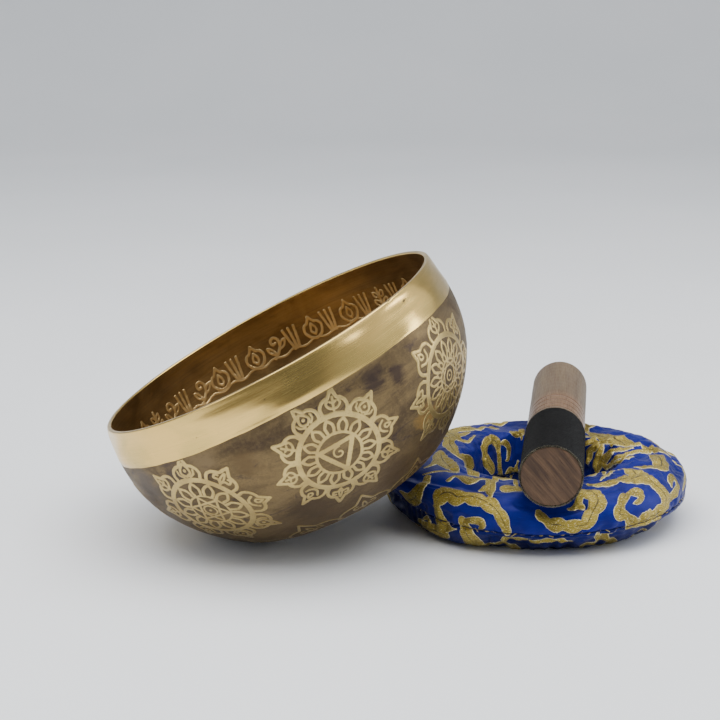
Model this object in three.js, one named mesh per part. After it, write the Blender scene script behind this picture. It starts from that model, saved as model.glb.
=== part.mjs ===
// Singing bowl set: a spun and hammered bronze bowl, a wooden striker with a suede sleeve,
// and the stuffed brocade ring that both lean on. Millimetres, +Z up. The origin is on the
// surface that the set stands on, under the middle of the set.
import * as THREE from 'three';

// ---------------------------------------------------------------- driving dimensions
// bowl (its own frame: z = 0 in the plane of the lip, the bottom at -BOWL_DEPTH)
const BOWL_CENTRE = [-69.568, -11.121, 101.938]; // middle of the lip circle
const BOWL_AXIS = [-0.4657, 0.0165, 0.88479];    // out of the mouth: the bowl leans back by 27.8 degrees
const LIP_RADIUS = 92.0;
const LIP_WIDTH = 2.3;
const WALL = 2.2;
const BASE_WALL = 2.8;
// outer wall: depth below the lip, radius
const OUTER_WALL = [[0.35, 92.05], [9.5, 93.75], [20.3, 94.58], [31.5, 94.0], [42.0, 91.75], [52.0, 87.6], [61.0, 82.1], [69.0, 75.8],
  [76.0, 69.1], [81.7, 62.3], [86.1, 55.3], [89.4, 47.2], [91.3, 38.2], [92.0, 27.0], [92.0, 0]];
const BOWL_SEGMENTS = 56;

// striker (its own frame: z = 0 at the padded end, +Z towards the handle's end)
const STRIKER_START = [70.249, -71.587, 47.851];
const STRIKER_YAW = 0.124;      // radians, seen from above
const STRIKER_LENGTH = 178;
const HANDLE_RADIUS = 15.1;
const SLEEVE_OUTER = 15.6;
const SLEEVE_INNER = 14.55;
const SLEEVE_LENGTH = 71;
const CORE_RADIUS = 14.2;       // wood under the sleeve
const GROOVES = [76, 83, 91, 99];
const GROOVE_DEPTH = 0.6;
const GROOVE_HALF = 0.9;
const STRIKER_SEGMENTS = 28;

// ring cushion
const RING_CENTRE = [72.806, 20.468];
const RING_SEGMENTS = 40;
const COVER = 0.9;              // brocade with its lining
const GAP = 0.35;               // between the layers
const THREAD_RADIUS = 0.5;
const SEAM_HALF = 0.85;         // half of the slot between the covers in which the thread lies
// sections of the ring (radius, height), outer seam first, over the crest, down the hole, under the base
const SECTION_PRESSED = [[78.5, 13], [77.5, 19.5], [74.5, 25.5], [69.5, 29.8], [62.5, 32.4], [55, 33.2], [47.8, 32.2], [42.6, 28.8],
  [39.6, 23.8], [38.2, 18], [38.4, 11.2], [40.6, 5.2], [44.8, 1.2], [50, 0], [57, 0], [67, 0], [72.5, 0.6], [76.3, 3.2], [78.3, 7.6]];
const SECTION_FREE = [[78, 16.5], [77, 22.3], [74, 27.8], [69, 32], [62.5, 34.8], [55, 35.6], [47.8, 34.4], [42.6, 30.6],
  [39.6, 25], [38.2, 18.6], [38.4, 11.6], [40.6, 5.4], [44.8, 1.2], [50, 0], [54, 0], [58, 0], [64.5, 2.0], [70.6, 6.0], [75.4, 11]];
const PRESSED_TOWARDS = 215;    // degrees: the side that the bowl pushes down and spreads
const BULGE_TOWARDS = 188;      // degrees: the shoulder that wells up against the bowl
const BULGE = 8.7;
const BULGE_SPREAD = 36;
const SPREAD_TOWARDS = 168;     // degrees: the flank that spreads under the bowl
const SPREAD = 4.5;
const SPREAD_WIDTH = 24;
const DENT_NEAR = 1.95;         // the striker's print in the crest, at its padded end and at its handle
const DENT_FAR = 3.0;
const DENT_SPREAD = 13;
// where the layers are sampled, as a share of the way round the section
const TOP_SHARES = [0.014, 0.05, 0.092, 0.135, 0.178, 0.222, 0.268, 0.314, 0.36, 0.406, 0.452, 0.505, 0.561];
const BOTTOM_SHARES = [0.589, 0.617, 0.651, 0.69, 0.735, 0.785, 0.838, 0.89, 0.942, 0.986];

// ---------------------------------------------------------------- materials
const bronze = new THREE.MeshStandardMaterial({ color: 0x8c7a50, roughness: 0.42, metalness: 0.9 });
const walnut = new THREE.MeshStandardMaterial({ color: 0x7d6552, roughness: 0.6, metalness: 0 });
const suede = new THREE.MeshStandardMaterial({ color: 0x272727, roughness: 0.95, metalness: 0 });
const brocade = new THREE.MeshStandardMaterial({ color: 0x24418f, roughness: 0.55, metalness: 0 });
const brocadeUnder = new THREE.MeshStandardMaterial({ color: 0x1c3272, roughness: 0.6, metalness: 0 });
const wadding = new THREE.MeshStandardMaterial({ color: 0xd8d2c4, roughness: 1, metalness: 0 });
const thread = new THREE.MeshStandardMaterial({ color: 0xb09a4e, roughness: 0.7, metalness: 0 });
const gatherThread = new THREE.MeshStandardMaterial({ color: 0x27386f, roughness: 0.8, metalness: 0 });

const set = new THREE.Group();

function add(name, geometry, material, parent = set) {
  const mesh = new THREE.Mesh(geometry, material);
  mesh.name = name;
  parent.add(mesh);
  return mesh;
}

// A body of revolution about +Z from a profile of [radius, height] that starts and ends on the axis or closes on itself.
function turned(profile, segments) {
  const geometry = new THREE.LatheGeometry(profile.map(([r, z]) => new THREE.Vector2(r, z)), segments);
  geometry.rotateX(Math.PI / 2);
  return geometry;
}

// ---------------------------------------------------------------- bowl
function bowlGeometry() {
  const outer = OUTER_WALL.map(([depth, r]) => [r, -depth]);
  const inner = [];
  for (let i = 0; i < outer.length; i += 1) {
    const before = outer[Math.max(i - 1, 0)];
    const after = outer[Math.min(i + 1, outer.length - 1)];
    const along = new THREE.Vector2(after[0] - before[0], after[1] - before[1]).normalize();
    const share = Math.min(1, Math.max(0, (-outer[i][1] - 60) / 30));
    const wall = i === 0 ? LIP_WIDTH + 0.3 : WALL + (BASE_WALL - WALL) * share;
    // the inward normal is the way along the wall (down and in) turned towards the axis
    const radius = i === outer.length - 1 ? 0 : Math.max(0, outer[i][0] + along.y * wall);
    inner.push([radius, outer[i][1] - along.x * wall]);
  }
  const lip = [[LIP_RADIUS - 0.3, 0], [LIP_RADIUS - LIP_WIDTH, 0]];
  const profile = [...outer.slice().reverse(), ...lip, [inner[0][0], -0.5], ...inner.slice(1)];
  return turned(profile, BOWL_SEGMENTS);
}
const bowl = add('bowl', bowlGeometry(), bronze);
bowl.position.set(...BOWL_CENTRE);
bowl.quaternion.setFromUnitVectors(new THREE.Vector3(0, 0, 1), new THREE.Vector3(...BOWL_AXIS).normalize());

// ---------------------------------------------------------------- striker
const striker = new THREE.Group();
striker.position.set(...STRIKER_START);
striker.rotation.order = 'ZXY';
striker.rotation.set(-Math.PI / 2, 0, -STRIKER_YAW);
set.add(striker);
const stick = [[0, 0], [CORE_RADIUS - 0.5, 0], [CORE_RADIUS, 0.5], [CORE_RADIUS, SLEEVE_LENGTH + 0.35], [HANDLE_RADIUS, SLEEVE_LENGTH + 0.6]];
for (const z of GROOVES) {
  stick.push([HANDLE_RADIUS, z - GROOVE_HALF], [HANDLE_RADIUS - GROOVE_DEPTH, z], [HANDLE_RADIUS, z + GROOVE_HALF]);
}
stick.push([HANDLE_RADIUS, STRIKER_LENGTH - 6.5], [HANDLE_RADIUS - 0.7, STRIKER_LENGTH - 3.6], [HANDLE_RADIUS - 2.6, STRIKER_LENGTH - 1.3],
  [HANDLE_RADIUS - 5.6, STRIKER_LENGTH - 0.2], [0, STRIKER_LENGTH]);
add('striker_stick', turned(stick, STRIKER_SEGMENTS), walnut, striker);
const sleeve = [[SLEEVE_INNER, 0.2], [SLEEVE_OUTER - 0.3, 0.2], [SLEEVE_OUTER, 0.5], [SLEEVE_OUTER, SLEEVE_LENGTH - 0.3],
  [SLEEVE_OUTER - 0.3, SLEEVE_LENGTH], [SLEEVE_INNER, SLEEVE_LENGTH], [SLEEVE_INNER, 0.2]];
add('striker_suede_sleeve', turned(sleeve, STRIKER_SEGMENTS), suede, striker);

// ---------------------------------------------------------------- ring cushion
const smooth = (x) => { const t = Math.min(1, Math.max(0, x)); return t * t * (3 - 2 * t); };
const turnFrom = (theta, degrees) => {
  const d = theta - THREE.MathUtils.degToRad(degrees);
  return Math.atan2(Math.sin(d), Math.cos(d));
};

// The ring's section at an angle: a smooth closed curve between the pressed and the free shapes.
const sections = new Map();
function sectionAt(theta) {
  const key = theta.toFixed(6);
  if (!sections.has(key)) {
    const free = 0.5 - 0.5 * Math.cos(turnFrom(theta, PRESSED_TOWARDS));
    const points = SECTION_PRESSED.map(([r, z], i) => new THREE.Vector3(
      r + (SECTION_FREE[i][0] - r) * free, z + (SECTION_FREE[i][1] - z) * free, 0));
    const curve = new THREE.CatmullRomCurve3(points, true, 'centripetal');
    curve.arcLengthDivisions = 400;
    sections.set(key, curve);
  }
  return sections.get(key);
}

// A point of the section, `inset` inside the cover's outer face: [radius, height].
function sectionPoint(theta, share, inset) {
  const curve = sectionAt(theta);
  const at = (share + 1) % 1;
  const p = curve.getPointAt(at);
  const t = curve.getTangentAt(at);
  return [p.x - t.y * inset, Math.max(p.y + t.x * inset, inset)];
}

// The bulge against the bowl and the dent under the striker.
const strikerWay = new THREE.Vector2(Math.sin(STRIKER_YAW), Math.cos(STRIKER_YAW));
function settle(theta, r, z) {
  const lobe = (towards, width) => Math.exp(-((turnFrom(theta, towards) / THREE.MathUtils.degToRad(width)) ** 2));
  const outwards = smooth((r - 52) / 20);
  const radius = r + outwards * (BULGE * lobe(BULGE_TOWARDS, BULGE_SPREAD) * smooth((z - 8) / 19) + SPREAD * lobe(SPREAD_TOWARDS, SPREAD_WIDTH));
  const x = RING_CENTRE[0] + radius * Math.cos(theta);
  const y = RING_CENTRE[1] + radius * Math.sin(theta);
  const aside = (x - STRIKER_START[0]) * strikerWay.y - (y - STRIKER_START[1]) * strikerWay.x;
  const deep = DENT_NEAR + (DENT_FAR - DENT_NEAR) * smooth((y - RING_CENTRE[1] + 30) / 60);
  const dent = deep * Math.exp(-((aside / DENT_SPREAD) ** 2)) * smooth((z - 4) / 29);
  return [x, y, z - dent];
}

// A ring whose section is the loop of [share, inset] pairs.
function ring(loop) {
  const closed = [...loop, loop[0]];
  const profile = closed.map(([share, inset]) => new THREE.Vector2(...sectionPoint(0, share, inset)));
  const geometry = new THREE.LatheGeometry(profile, RING_SEGMENTS);
  const position = geometry.getAttribute('position');
  for (let i = 0; i <= RING_SEGMENTS; i += 1) {
    const theta = ((i % RING_SEGMENTS) / RING_SEGMENTS) * 2 * Math.PI - Math.PI / 2;
    closed.forEach(([share, inset], j) => {
      const [r, z] = sectionPoint(theta, share, inset);
      position.setXYZ(i * closed.length + j, ...settle(theta, r, z));
    });
  }
  geometry.computeVertexNormals();
  return geometry;
}

function shell(shares) {
  return ring([...shares.map((s) => [s, 0]), ...shares.slice().reverse().map((s) => [s, COVER])]);
}
add('cushion_top_cover', shell(TOP_SHARES), brocade);
add('cushion_bottom_cover', shell(BOTTOM_SHARES), brocadeUnder);
const fillingShares = [0, ...TOP_SHARES.slice(1, -1), 0.575, ...BOTTOM_SHARES.slice(1, -1)];
add('cushion_filling', ring(fillingShares.map((s) => [s, COVER + GAP])), wadding);

// The sewing thread lies as a fine ring in the slot between the two covers, outside and in the hole.
const LOOP_LENGTH = sectionAt(0).getLength();
function threadRing(share) {
  const loop = [];
  for (let k = 0; k < 6; k += 1) {
    const a = (k / 6) * 2 * Math.PI;
    loop.push([share + (THREAD_RADIUS * Math.cos(a)) / LOOP_LENGTH, COVER / 2 + THREAD_RADIUS * Math.sin(a)]);
  }
  return ring(loop);
}
add('cushion_seam_thread', threadRing(0), thread);
add('cushion_gather_thread', threadRing(0.575), gatherThread);

export default set;
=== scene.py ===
# Singing bowl set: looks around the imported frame. Millimetres in the shape code, metres in the meshes.
import bpy
import math
import numpy as np
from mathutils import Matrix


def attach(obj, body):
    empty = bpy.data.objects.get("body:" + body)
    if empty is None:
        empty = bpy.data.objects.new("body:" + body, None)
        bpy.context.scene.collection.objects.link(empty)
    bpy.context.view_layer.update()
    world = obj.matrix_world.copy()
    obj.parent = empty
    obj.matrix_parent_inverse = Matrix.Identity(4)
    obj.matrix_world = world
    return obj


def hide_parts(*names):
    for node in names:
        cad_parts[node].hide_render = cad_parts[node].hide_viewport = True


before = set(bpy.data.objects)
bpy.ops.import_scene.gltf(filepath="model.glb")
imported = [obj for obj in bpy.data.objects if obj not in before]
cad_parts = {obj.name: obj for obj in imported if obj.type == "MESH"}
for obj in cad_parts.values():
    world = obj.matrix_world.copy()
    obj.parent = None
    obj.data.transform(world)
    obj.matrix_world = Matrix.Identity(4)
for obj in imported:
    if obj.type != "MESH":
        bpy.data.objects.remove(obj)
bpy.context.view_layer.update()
MM = 0.001


# ------------------------------------------------------------------ small tools
def smooth(x):
    t = np.clip(x, 0, 1)
    return t * t * (3 - 2 * t)


def srgb(r, g, b):
    def lin(c):
        c = c / 255
        return c / 12.92 if c <= 0.04045 else ((c + 0.055) / 1.055) ** 2.4
    return (lin(r), lin(g), lin(b), 1.0)


def make(name, verts, faces, mats, body, mat_index=None, point=None, vector=None, solid=True):
    """A mesh piece from arrays: verts in mm, faces a list of (n, 3) and (n, 4) index arrays."""
    blocks = [b for b in (faces if isinstance(faces, list) else [faces]) if len(b)]
    verts = np.asarray(verts, np.float64)
    if solid:  # faces turned outwards
        vol = 0.0
        for b in blocks:
            for k in range(1, b.shape[1] - 1):
                vol += np.einsum("ij,ij->", verts[b[:, 0]], np.cross(verts[b[:, k]], verts[b[:, k + 1]]))
        if vol < 0:
            blocks = [b[:, ::-1] for b in blocks]
    sizes = np.concatenate([np.full(len(b), b.shape[1]) for b in blocks])
    loops = np.concatenate([b.reshape(-1) for b in blocks]).astype(np.int32)
    me = bpy.data.meshes.new(name)
    me.vertices.add(len(verts))
    me.vertices.foreach_set("co", (verts * MM).astype(np.float32).ravel())
    me.loops.add(len(loops))
    me.loops.foreach_set("vertex_index", loops)
    me.polygons.add(len(sizes))
    me.polygons.foreach_set("loop_start", np.r_[0, np.cumsum(sizes)[:-1]].astype(np.int32))
    me.polygons.foreach_set("use_smooth", np.ones(len(sizes), bool))
    for m in mats:
        me.materials.append(m)
    if mat_index is not None:
        me.polygons.foreach_set("material_index", np.asarray(mat_index, np.int32))
    me.update(calc_edges=True)
    for key, value in (point or {}).items():
        me.attributes.new(key, "FLOAT", "POINT").data.foreach_set("value", np.asarray(value, np.float32).ravel())
    for key, value in (vector or {}).items():
        me.attributes.new(key, "FLOAT_VECTOR", "POINT").data.foreach_set("vector", np.asarray(value, np.float32).ravel())
    ob = bpy.data.objects.new(name, me)
    bpy.context.scene.collection.objects.link(ob)
    if body:
        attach(ob, body)
    return ob


def quads(m, n, wrap_i=False, wrap_j=False, start=0):
    i = np.arange(m if wrap_i else m - 1)
    j = np.arange(n if wrap_j else n - 1)
    I, J = np.meshgrid(i, j, indexing="ij")
    I2, J2 = (I + 1) % m, (J + 1) % n
    return np.stack([I * n + J, I2 * n + J, I2 * n + J2, I * n + J2], -1).reshape(-1, 4) + start


def rounded(points, per=6, closed=False):
    """A Catmull-Rom line through points of any number of columns."""
    P = np.asarray(points, float)
    n = len(P)
    out = []
    for i in range(n if closed else n - 1):
        if closed:
            p0, p1, p2, p3 = P[i - 1], P[i], P[(i + 1) % n], P[(i + 2) % n]
        else:
            p0, p1, p2, p3 = P[max(i - 1, 0)], P[i], P[i + 1], P[min(i + 2, n - 1)]
        for k in range(per):
            t = k / per
            out.append(0.5 * (2 * p1 + (p2 - p0) * t + (2 * p0 - 5 * p1 + 4 * p2 - p3) * t * t + (3 * p1 - p0 - 3 * p2 + p3) * t ** 3))
    if not closed:
        out.append(P[-1])
    return np.array(out)


def stroke_distance(X, strokes, reach=3.0):
    """Signed distance from points X to the nearest stroke, and the share of the stroke's half width at that point.
    A stroke is an array of rows (..., half width)."""
    X = np.asarray(X, np.float64)
    best = np.full(len(X), 1e3)
    share = np.full(len(X), 1.0)
    for S in strokes:
        P, W = S[:, :-1], S[:, -1]
        pad = W.max() + reach
        near = np.nonzero(np.all((X > P.min(0) - pad) & (X < P.max(0) + pad), axis=1))[0]
        if not len(near):
            continue
        Q = X[near]
        d = np.full(len(near), 1e3)
        c = np.full(len(near), 1.0)
        for a, b, wa, wb in zip(P[:-1], P[1:], W[:-1], W[1:]):
            ab = b - a
            L = ab @ ab
            if L < 1e-12:
                continue
            lo, hi = np.minimum(a, b) - pad, np.maximum(a, b) + pad
            k = np.nonzero(np.all((Q > lo) & (Q < hi), axis=1))[0]
            if not len(k):
                continue
            t = np.clip((Q[k] - a) @ ab / L, 0, 1)
            dist = np.linalg.norm(Q[k] - a - t[:, None] * ab, axis=1)
            w = wa + (wb - wa) * t
            dd = dist - w
            better = dd < d[k]
            kk = k[better]
            d[kk] = dd[better]
            c[kk] = (dist / np.maximum(w, 1e-6))[better]
        better = d < best[near]
        best[near[better]] = d[better]
        share[near[better]] = c[better]
    return best, share


def cut(d):
    """The part of a grid where d < 0: node positions (i, j), d there and triangles, with new points on the outline."""
    M, N = d.shape
    idx = np.arange(M * N).reshape(M, N)
    a, b, c, e = idx[:-1, :-1].ravel(), idx[1:, :-1].ravel(), idx[1:, 1:].ravel(), idx[:-1, 1:].ravel()
    par = ((np.arange(M - 1)[:, None] + np.arange(N - 1)) % 2 == 0).ravel()
    T = np.concatenate([np.stack([a, b, c], 1)[par], np.stack([a, c, e], 1)[par],
                        np.stack([a, b, e], 1)[~par], np.stack([b, c, e], 1)[~par]])
    D = d.ravel()
    inside = D[T] < 0
    count = inside.sum(1)
    whole = T[count == 3]

    def turned(t, s):
        k = np.argmax(s, 1)
        r = np.arange(len(t))
        return t[r, k], t[r, (k + 1) % 3], t[r, (k + 2) % 3]
    p, q, r = turned(T[count == 1], inside[count == 1])
    u, v, w = turned(T[count == 2], ~inside[count == 2])
    pairs = np.concatenate([np.stack([p, q], 1), np.stack([p, r], 1), np.stack([u, v], 1), np.stack([u, w], 1)])
    pairs.sort(axis=1)
    key = pairs[:, 0].astype(np.int64) * (M * N) + pairs[:, 1]
    uniq, inv = np.unique(key, return_inverse=True)
    inv = inv.ravel()
    lo, hi = (uniq // (M * N)).astype(int), (uniq % (M * N)).astype(int)
    t = np.clip(D[lo] / (D[lo] - D[hi]), 0.03, 0.97)
    used = np.unique(np.concatenate([whole.ravel(), p, v, w]))
    remap = np.full(M * N, -1)
    remap[used] = np.arange(len(used))
    ij = np.stack([used // N, used % N], 1).astype(float)
    A = np.stack([lo // N, lo % N], 1).astype(float)
    B = np.stack([hi // N, hi % N], 1).astype(float)
    IJ = np.concatenate([ij, A + (B - A) * t[:, None]])
    dd = np.concatenate([D[used], np.zeros(len(uniq))])
    n1, n2 = len(p), len(u)
    base = len(used)
    pq, pr = inv[:n1] + base, inv[n1:2 * n1] + base
    uv, uw = inv[2 * n1:2 * n1 + n2] + base, inv[2 * n1 + n2:] + base
    tris = np.concatenate([remap[whole], np.stack([remap[p], pq, pr], 1),
                           np.stack([uv, remap[v], remap[w]], 1), np.stack([uv, remap[w], uw], 1)])
    return IJ, dd, tris


# ------------------------------------------------------------------ materials
class Mat:
    """A material whose nodes are written as expressions."""

    def __init__(self, name, **sockets):
        self.mat = bpy.data.materials.new(name)
        self.mat.use_nodes = True
        self.nt = self.mat.node_tree
        self.bsdf = self.nt.nodes["Principled BSDF"]
        for k, v in sockets.items():
            self.bsdf.inputs[k.replace("_", " ")].default_value = v

    def _in(self, node, key, value):
        if value is None:
            return
        if isinstance(value, bpy.types.NodeSocket):
            self.nt.links.new(value, node.inputs[key])
        else:
            node.inputs[key].default_value = value

    def place(self, name="place"):
        n = self.nt.nodes.new("ShaderNodeAttribute")
        n.attribute_name = name
        return n.outputs["Vector"]

    def value(self, name):
        n = self.nt.nodes.new("ShaderNodeAttribute")
        n.attribute_name = name
        return n.outputs["Fac"]

    def scaled(self, v, sx, sy, sz, shift=(0, 0, 0), turn=(0, 0, 0)):
        n = self.nt.nodes.new("ShaderNodeMapping")
        self._in(n, 0, v)
        n.inputs["Location"].default_value = shift
        n.inputs["Rotation"].default_value = turn
        n.inputs["Scale"].default_value = (sx, sy, sz)
        return n.outputs[0]

    def axis(self, v, k):
        n = self.nt.nodes.new("ShaderNodeSeparateXYZ")
        self._in(n, 0, v)
        return n.outputs[k]

    def noise(self, v, scale, detail=3, rough=0.55, warp=0.0, colour=False):
        n = self.nt.nodes.new("ShaderNodeTexNoise")
        self._in(n, "Vector", v)
        n.inputs["Scale"].default_value = scale
        n.inputs["Detail"].default_value = detail
        n.inputs["Roughness"].default_value = rough
        n.inputs["Distortion"].default_value = warp
        return n.outputs["Color" if colour else 0]

    def cells(self, v, scale, feature="F1", random=1.0):
        n = self.nt.nodes.new("ShaderNodeTexVoronoi")
        n.feature = feature
        self._in(n, "Vector", v)
        n.inputs["Scale"].default_value = scale
        n.inputs["Randomness"].default_value = random
        return n.outputs["Distance"]

    def math(self, op, a, b=None, c=None, clamp=False):
        n = self.nt.nodes.new("ShaderNodeMath")
        n.operation = op
        n.use_clamp = clamp
        self._in(n, 0, a)
        self._in(n, 1, b)
        self._in(n, 2, c)
        return n.outputs[0]

    def span(self, v, lo, hi, to_lo=0.0, to_hi=1.0, soft=True):
        n = self.nt.nodes.new("ShaderNodeMapRange")
        n.interpolation_type = "SMOOTHSTEP" if soft else "LINEAR"
        self._in(n, "Value", v)
        n.inputs["From Min"].default_value = lo
        n.inputs["From Max"].default_value = hi
        n.inputs["To Min"].default_value = to_lo
        n.inputs["To Max"].default_value = to_hi
        return n.outputs[0]

    def mix(self, f, a, b, blend="MIX"):
        n = self.nt.nodes.new("ShaderNodeMix")
        n.data_type = "RGBA"
        n.blend_type = blend
        self._in(n, 0, f)
        self._in(n, 6, a)
        self._in(n, 7, b)
        return n.outputs[2]

    def bump(self, height, strength, distance, normal=None):
        n = self.nt.nodes.new("ShaderNodeBump")
        n.inputs["Strength"].default_value = strength
        n.inputs["Distance"].default_value = distance * MM
        self._in(n, "Height", height)
        self._in(n, "Normal", normal)
        return n.outputs[0]

    def out(self, colour=None, rough=None, normal=None, metal=None):
        self._in(self.bsdf, "Base Color", colour)
        self._in(self.bsdf, "Roughness", rough)
        self._in(self.bsdf, "Normal", normal)
        self._in(self.bsdf, "Metallic", metal)
        return self.mat


def patina_metal():
    """Etched and darkened wall: mottled brown patina with tan wear and grey-violet clouds, and painted shade towards
    the foot.
    """
    m = Mat("bronze_patina", Metallic=0.72, Roughness=0.55, Specular_IOR_Level=0.35)
    p = m.place()
    streak = m.noise(m.scaled(p, 0.016, 0.016, 0.075, shift=(3, 1, 7)), 1.0, 5, 0.62, 0.9)
    cloud = m.noise(m.scaled(p, 0.03, 0.03, 0.05, shift=(9, 4, 2)), 1.0, 5, 0.62, 0.7)
    stain = m.noise(m.scaled(p, 0.045, 0.045, 0.12, shift=(1, 8, 5)), 1.0, 6, 0.68, 1.4)
    grain = m.noise(p, 0.55, 4, 0.62)
    fine = m.noise(p, 2.6, 2, 0.5)
    c = m.mix(m.span(streak, 0.36, 0.64), srgb(87, 72, 50), srgb(118, 99, 67))
    c = m.mix(m.span(cloud, 0.48, 0.66, 0, 0.85), c, srgb(76, 62, 46))
    c = m.mix(m.span(stain, 0.55, 0.70, 0, 0.9), c, srgb(62, 50, 48))
    c = m.mix(m.span(grain, 0.42, 0.72, 0.0, 0.22), c, srgb(140, 118, 78))
    c = m.mix(m.span(fine, 0.52, 0.75, 0, 0.4), c, srgb(58, 46, 34))
    for at, size, tone in STAINS:
        n = m.nt.nodes.new("ShaderNodeVectorMath")
        n.operation = "DISTANCE"
        m.nt.links.new(p, n.inputs[0])
        n.inputs[1].default_value = at
        d = m.math("ADD", n.outputs["Value"], m.math("MULTIPLY", m.math("SUBTRACT", stain, 0.5), size * 2.6))
        c = m.mix(m.span(d, size * 0.3, size * 1.1, 0.82, 0.0), c, tone)
    depth = m.axis(p, 2)
    # painted shade: the wall's colour darkens towards the foot, where it faces the floor
    low = m.span(m.math("ADD", depth, m.math("MULTIPLY", m.math("SUBTRACT", cloud, 0.5), 30.0)), -88.0, -58.0, 0.6, 0.0)
    c = m.mix(low, c, srgb(82, 64, 40))
    rough = m.math("ADD", m.span(cloud, 0.3, 0.75, 0.46, 0.62), m.math("MULTIPLY", m.math("SUBTRACT", fine, 0.5), 0.22))
    h = m.math("ADD", m.math("MULTIPLY", grain, 0.5), m.math("MULTIPLY", fine, 0.35))
    return m.out(c, rough, m.bump(h, 0.3, 0.25))


def polished_metal():
    """Scraped and polished band and lip: fine turning lines round the bowl, soft smears."""
    m = Mat("bronze_polished", Metallic=1.0, Roughness=0.3)
    p = m.place()
    lines = m.noise(m.scaled(p, 0.012, 0.012, 3.1), 1.0, 4, 0.7)
    hair = m.noise(m.scaled(p, 0.03, 0.03, 9.0), 1.0, 2, 0.6)
    smear = m.noise(m.scaled(p, 0.028, 0.028, 0.05, shift=(2, 6, 1)), 1.0, 3, 0.55, 0.6)
    speck = m.noise(p, 1.3, 3, 0.6)
    c = m.mix(m.span(smear, 0.36, 0.64), srgb(230, 193, 113), srgb(210, 179, 105))
    c = m.mix(m.span(lines, 0.42, 0.72, 0, 0.16), c, srgb(176, 146, 84))
    c = m.mix(m.span(speck, 0.62, 0.8, 0, 0.5), c, srgb(134, 112, 66))
    for at, size in NICKS:
        n = m.nt.nodes.new("ShaderNodeVectorMath")
        n.operation = "DISTANCE"
        m.nt.links.new(p, n.inputs[0])
        n.inputs[1].default_value = at
        c = m.mix(m.span(n.outputs["Value"], size * 0.5, size, 0.85, 0.0), c, srgb(58, 50, 42))
    rough = m.math("ADD", m.span(lines, 0.3, 0.75, 0.18, 0.30), m.math("MULTIPLY", m.math("SUBTRACT", smear, 0.5), 0.16))
    h = m.math("ADD", m.math("MULTIPLY", lines, 0.7), m.math("MULTIPLY", hair, 0.35))
    return m.out(c, rough, m.bump(h, 0.12, 0.1))


def inside_metal():
    """Inside wall: warm brown, with turning rings and a lighter bloom."""
    m = Mat("bronze_inside", Metallic=1.0, Roughness=0.42)
    p = m.place()
    rings = m.noise(m.scaled(p, 0.01, 0.01, 0.9, shift=(0, 0, 3)), 1.0, 4, 0.7)
    cloud = m.noise(m.scaled(p, 0.03, 0.03, 0.06, shift=(5, 2, 4)), 1.0, 4, 0.6, 0.7)
    fine = m.noise(p, 1.9, 3, 0.6)
    c = m.mix(m.span(cloud, 0.34, 0.66), srgb(122, 98, 62), srgb(156, 128, 84))
    c = m.mix(m.span(rings, 0.45, 0.75, 0, 0.45), c, srgb(90, 70, 44))
    c = m.mix(m.span(fine, 0.55, 0.78, 0, 0.4), c, srgb(78, 60, 40))
    rough = m.span(rings, 0.3, 0.75, 0.36, 0.52)
    h = m.math("ADD", m.math("MULTIPLY", rings, 0.8), m.math("MULTIPLY", fine, 0.25))
    return m.out(c, rough, m.bump(h, 0.3, 0.2))


def relief_metal(name, light, worn, dark):
    """Raised lines left by the etching: brighter on top, dark in the corner at their foot, and painted shade on the
    lines lower down the bowl.
    """
    m = Mat(name, Metallic=0.85, Roughness=0.45)
    p = m.place()
    rise = m.value("rise")
    fine = m.noise(p, 1.7, 3, 0.6)
    cloud = m.noise(m.scaled(p, 0.05, 0.05, 0.07), 1.0, 3, 0.6)
    c = m.mix(m.span(cloud, 0.35, 0.68), light, worn)
    c = m.mix(m.span(fine, 0.55, 0.78, 0, 0.45), c, dark)
    # painted shade: the raised lines darken towards the foot of the bowl
    c = m.mix(m.span(m.axis(p, 2), -82.0, -46.0, 0.42, 0.0), c, dark)
    c = m.mix(m.span(rise, 0.0, 0.75, 0.85, 0.0), c, dark)
    rough = m.span(fine, 0.3, 0.75, 0.3, 0.46)
    return m.out(c, rough, m.bump(fine, 0.25, 0.15))


def satin_cloth(name, lit, shade):
    """Blue satin ground: long floats with a fine twill line, a lengthwise slub and a soft sheen."""
    m = Mat(name, Roughness=0.5, Sheen_Weight=0.03, Sheen_Roughness=0.35, Sheen_Tint=(0.3, 0.5, 1.0, 1.0),
            Specular_IOR_Level=0.42, Specular_Tint=(0.22, 0.24, 0.9, 1.0))
    p = m.place("cloth")
    u, v = m.axis(p, 0), m.axis(p, 1)
    warp = m.math("SINE", m.math("MULTIPLY", m.math("ADD", u, m.math("MULTIPLY", v, 0.35)), 12.0))
    weft = m.math("SINE", m.math("MULTIPLY", v, 16.0))
    slub = m.noise(m.scaled(p, 0.25, 2.2, 1.0), 1.0, 3, 0.6)
    fade = m.noise(m.place("where"), 0.045, 3, 0.5)
    weave = m.math("ADD", m.math("MULTIPLY", warp, 0.6), m.math("MULTIPLY", weft, 0.4))
    c = m.mix(m.span(fade, 0.35, 0.68), lit, shade)
    c = m.mix(m.span(weave, -0.9, 0.6, 0.34, 0.0), c, srgb(4, 12, 60))
    c = m.mix(m.span(slub, 0.55, 0.8, 0, 0.3), c, srgb(30, 66, 190))
    h = m.math("ADD", m.math("MULTIPLY", weave, 0.5), m.math("MULTIPLY", slub, 0.8))
    return m.out(c, m.span(slub, 0.3, 0.75, 0.36, 0.5), m.bump(h, 0.3, 0.12))


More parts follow.
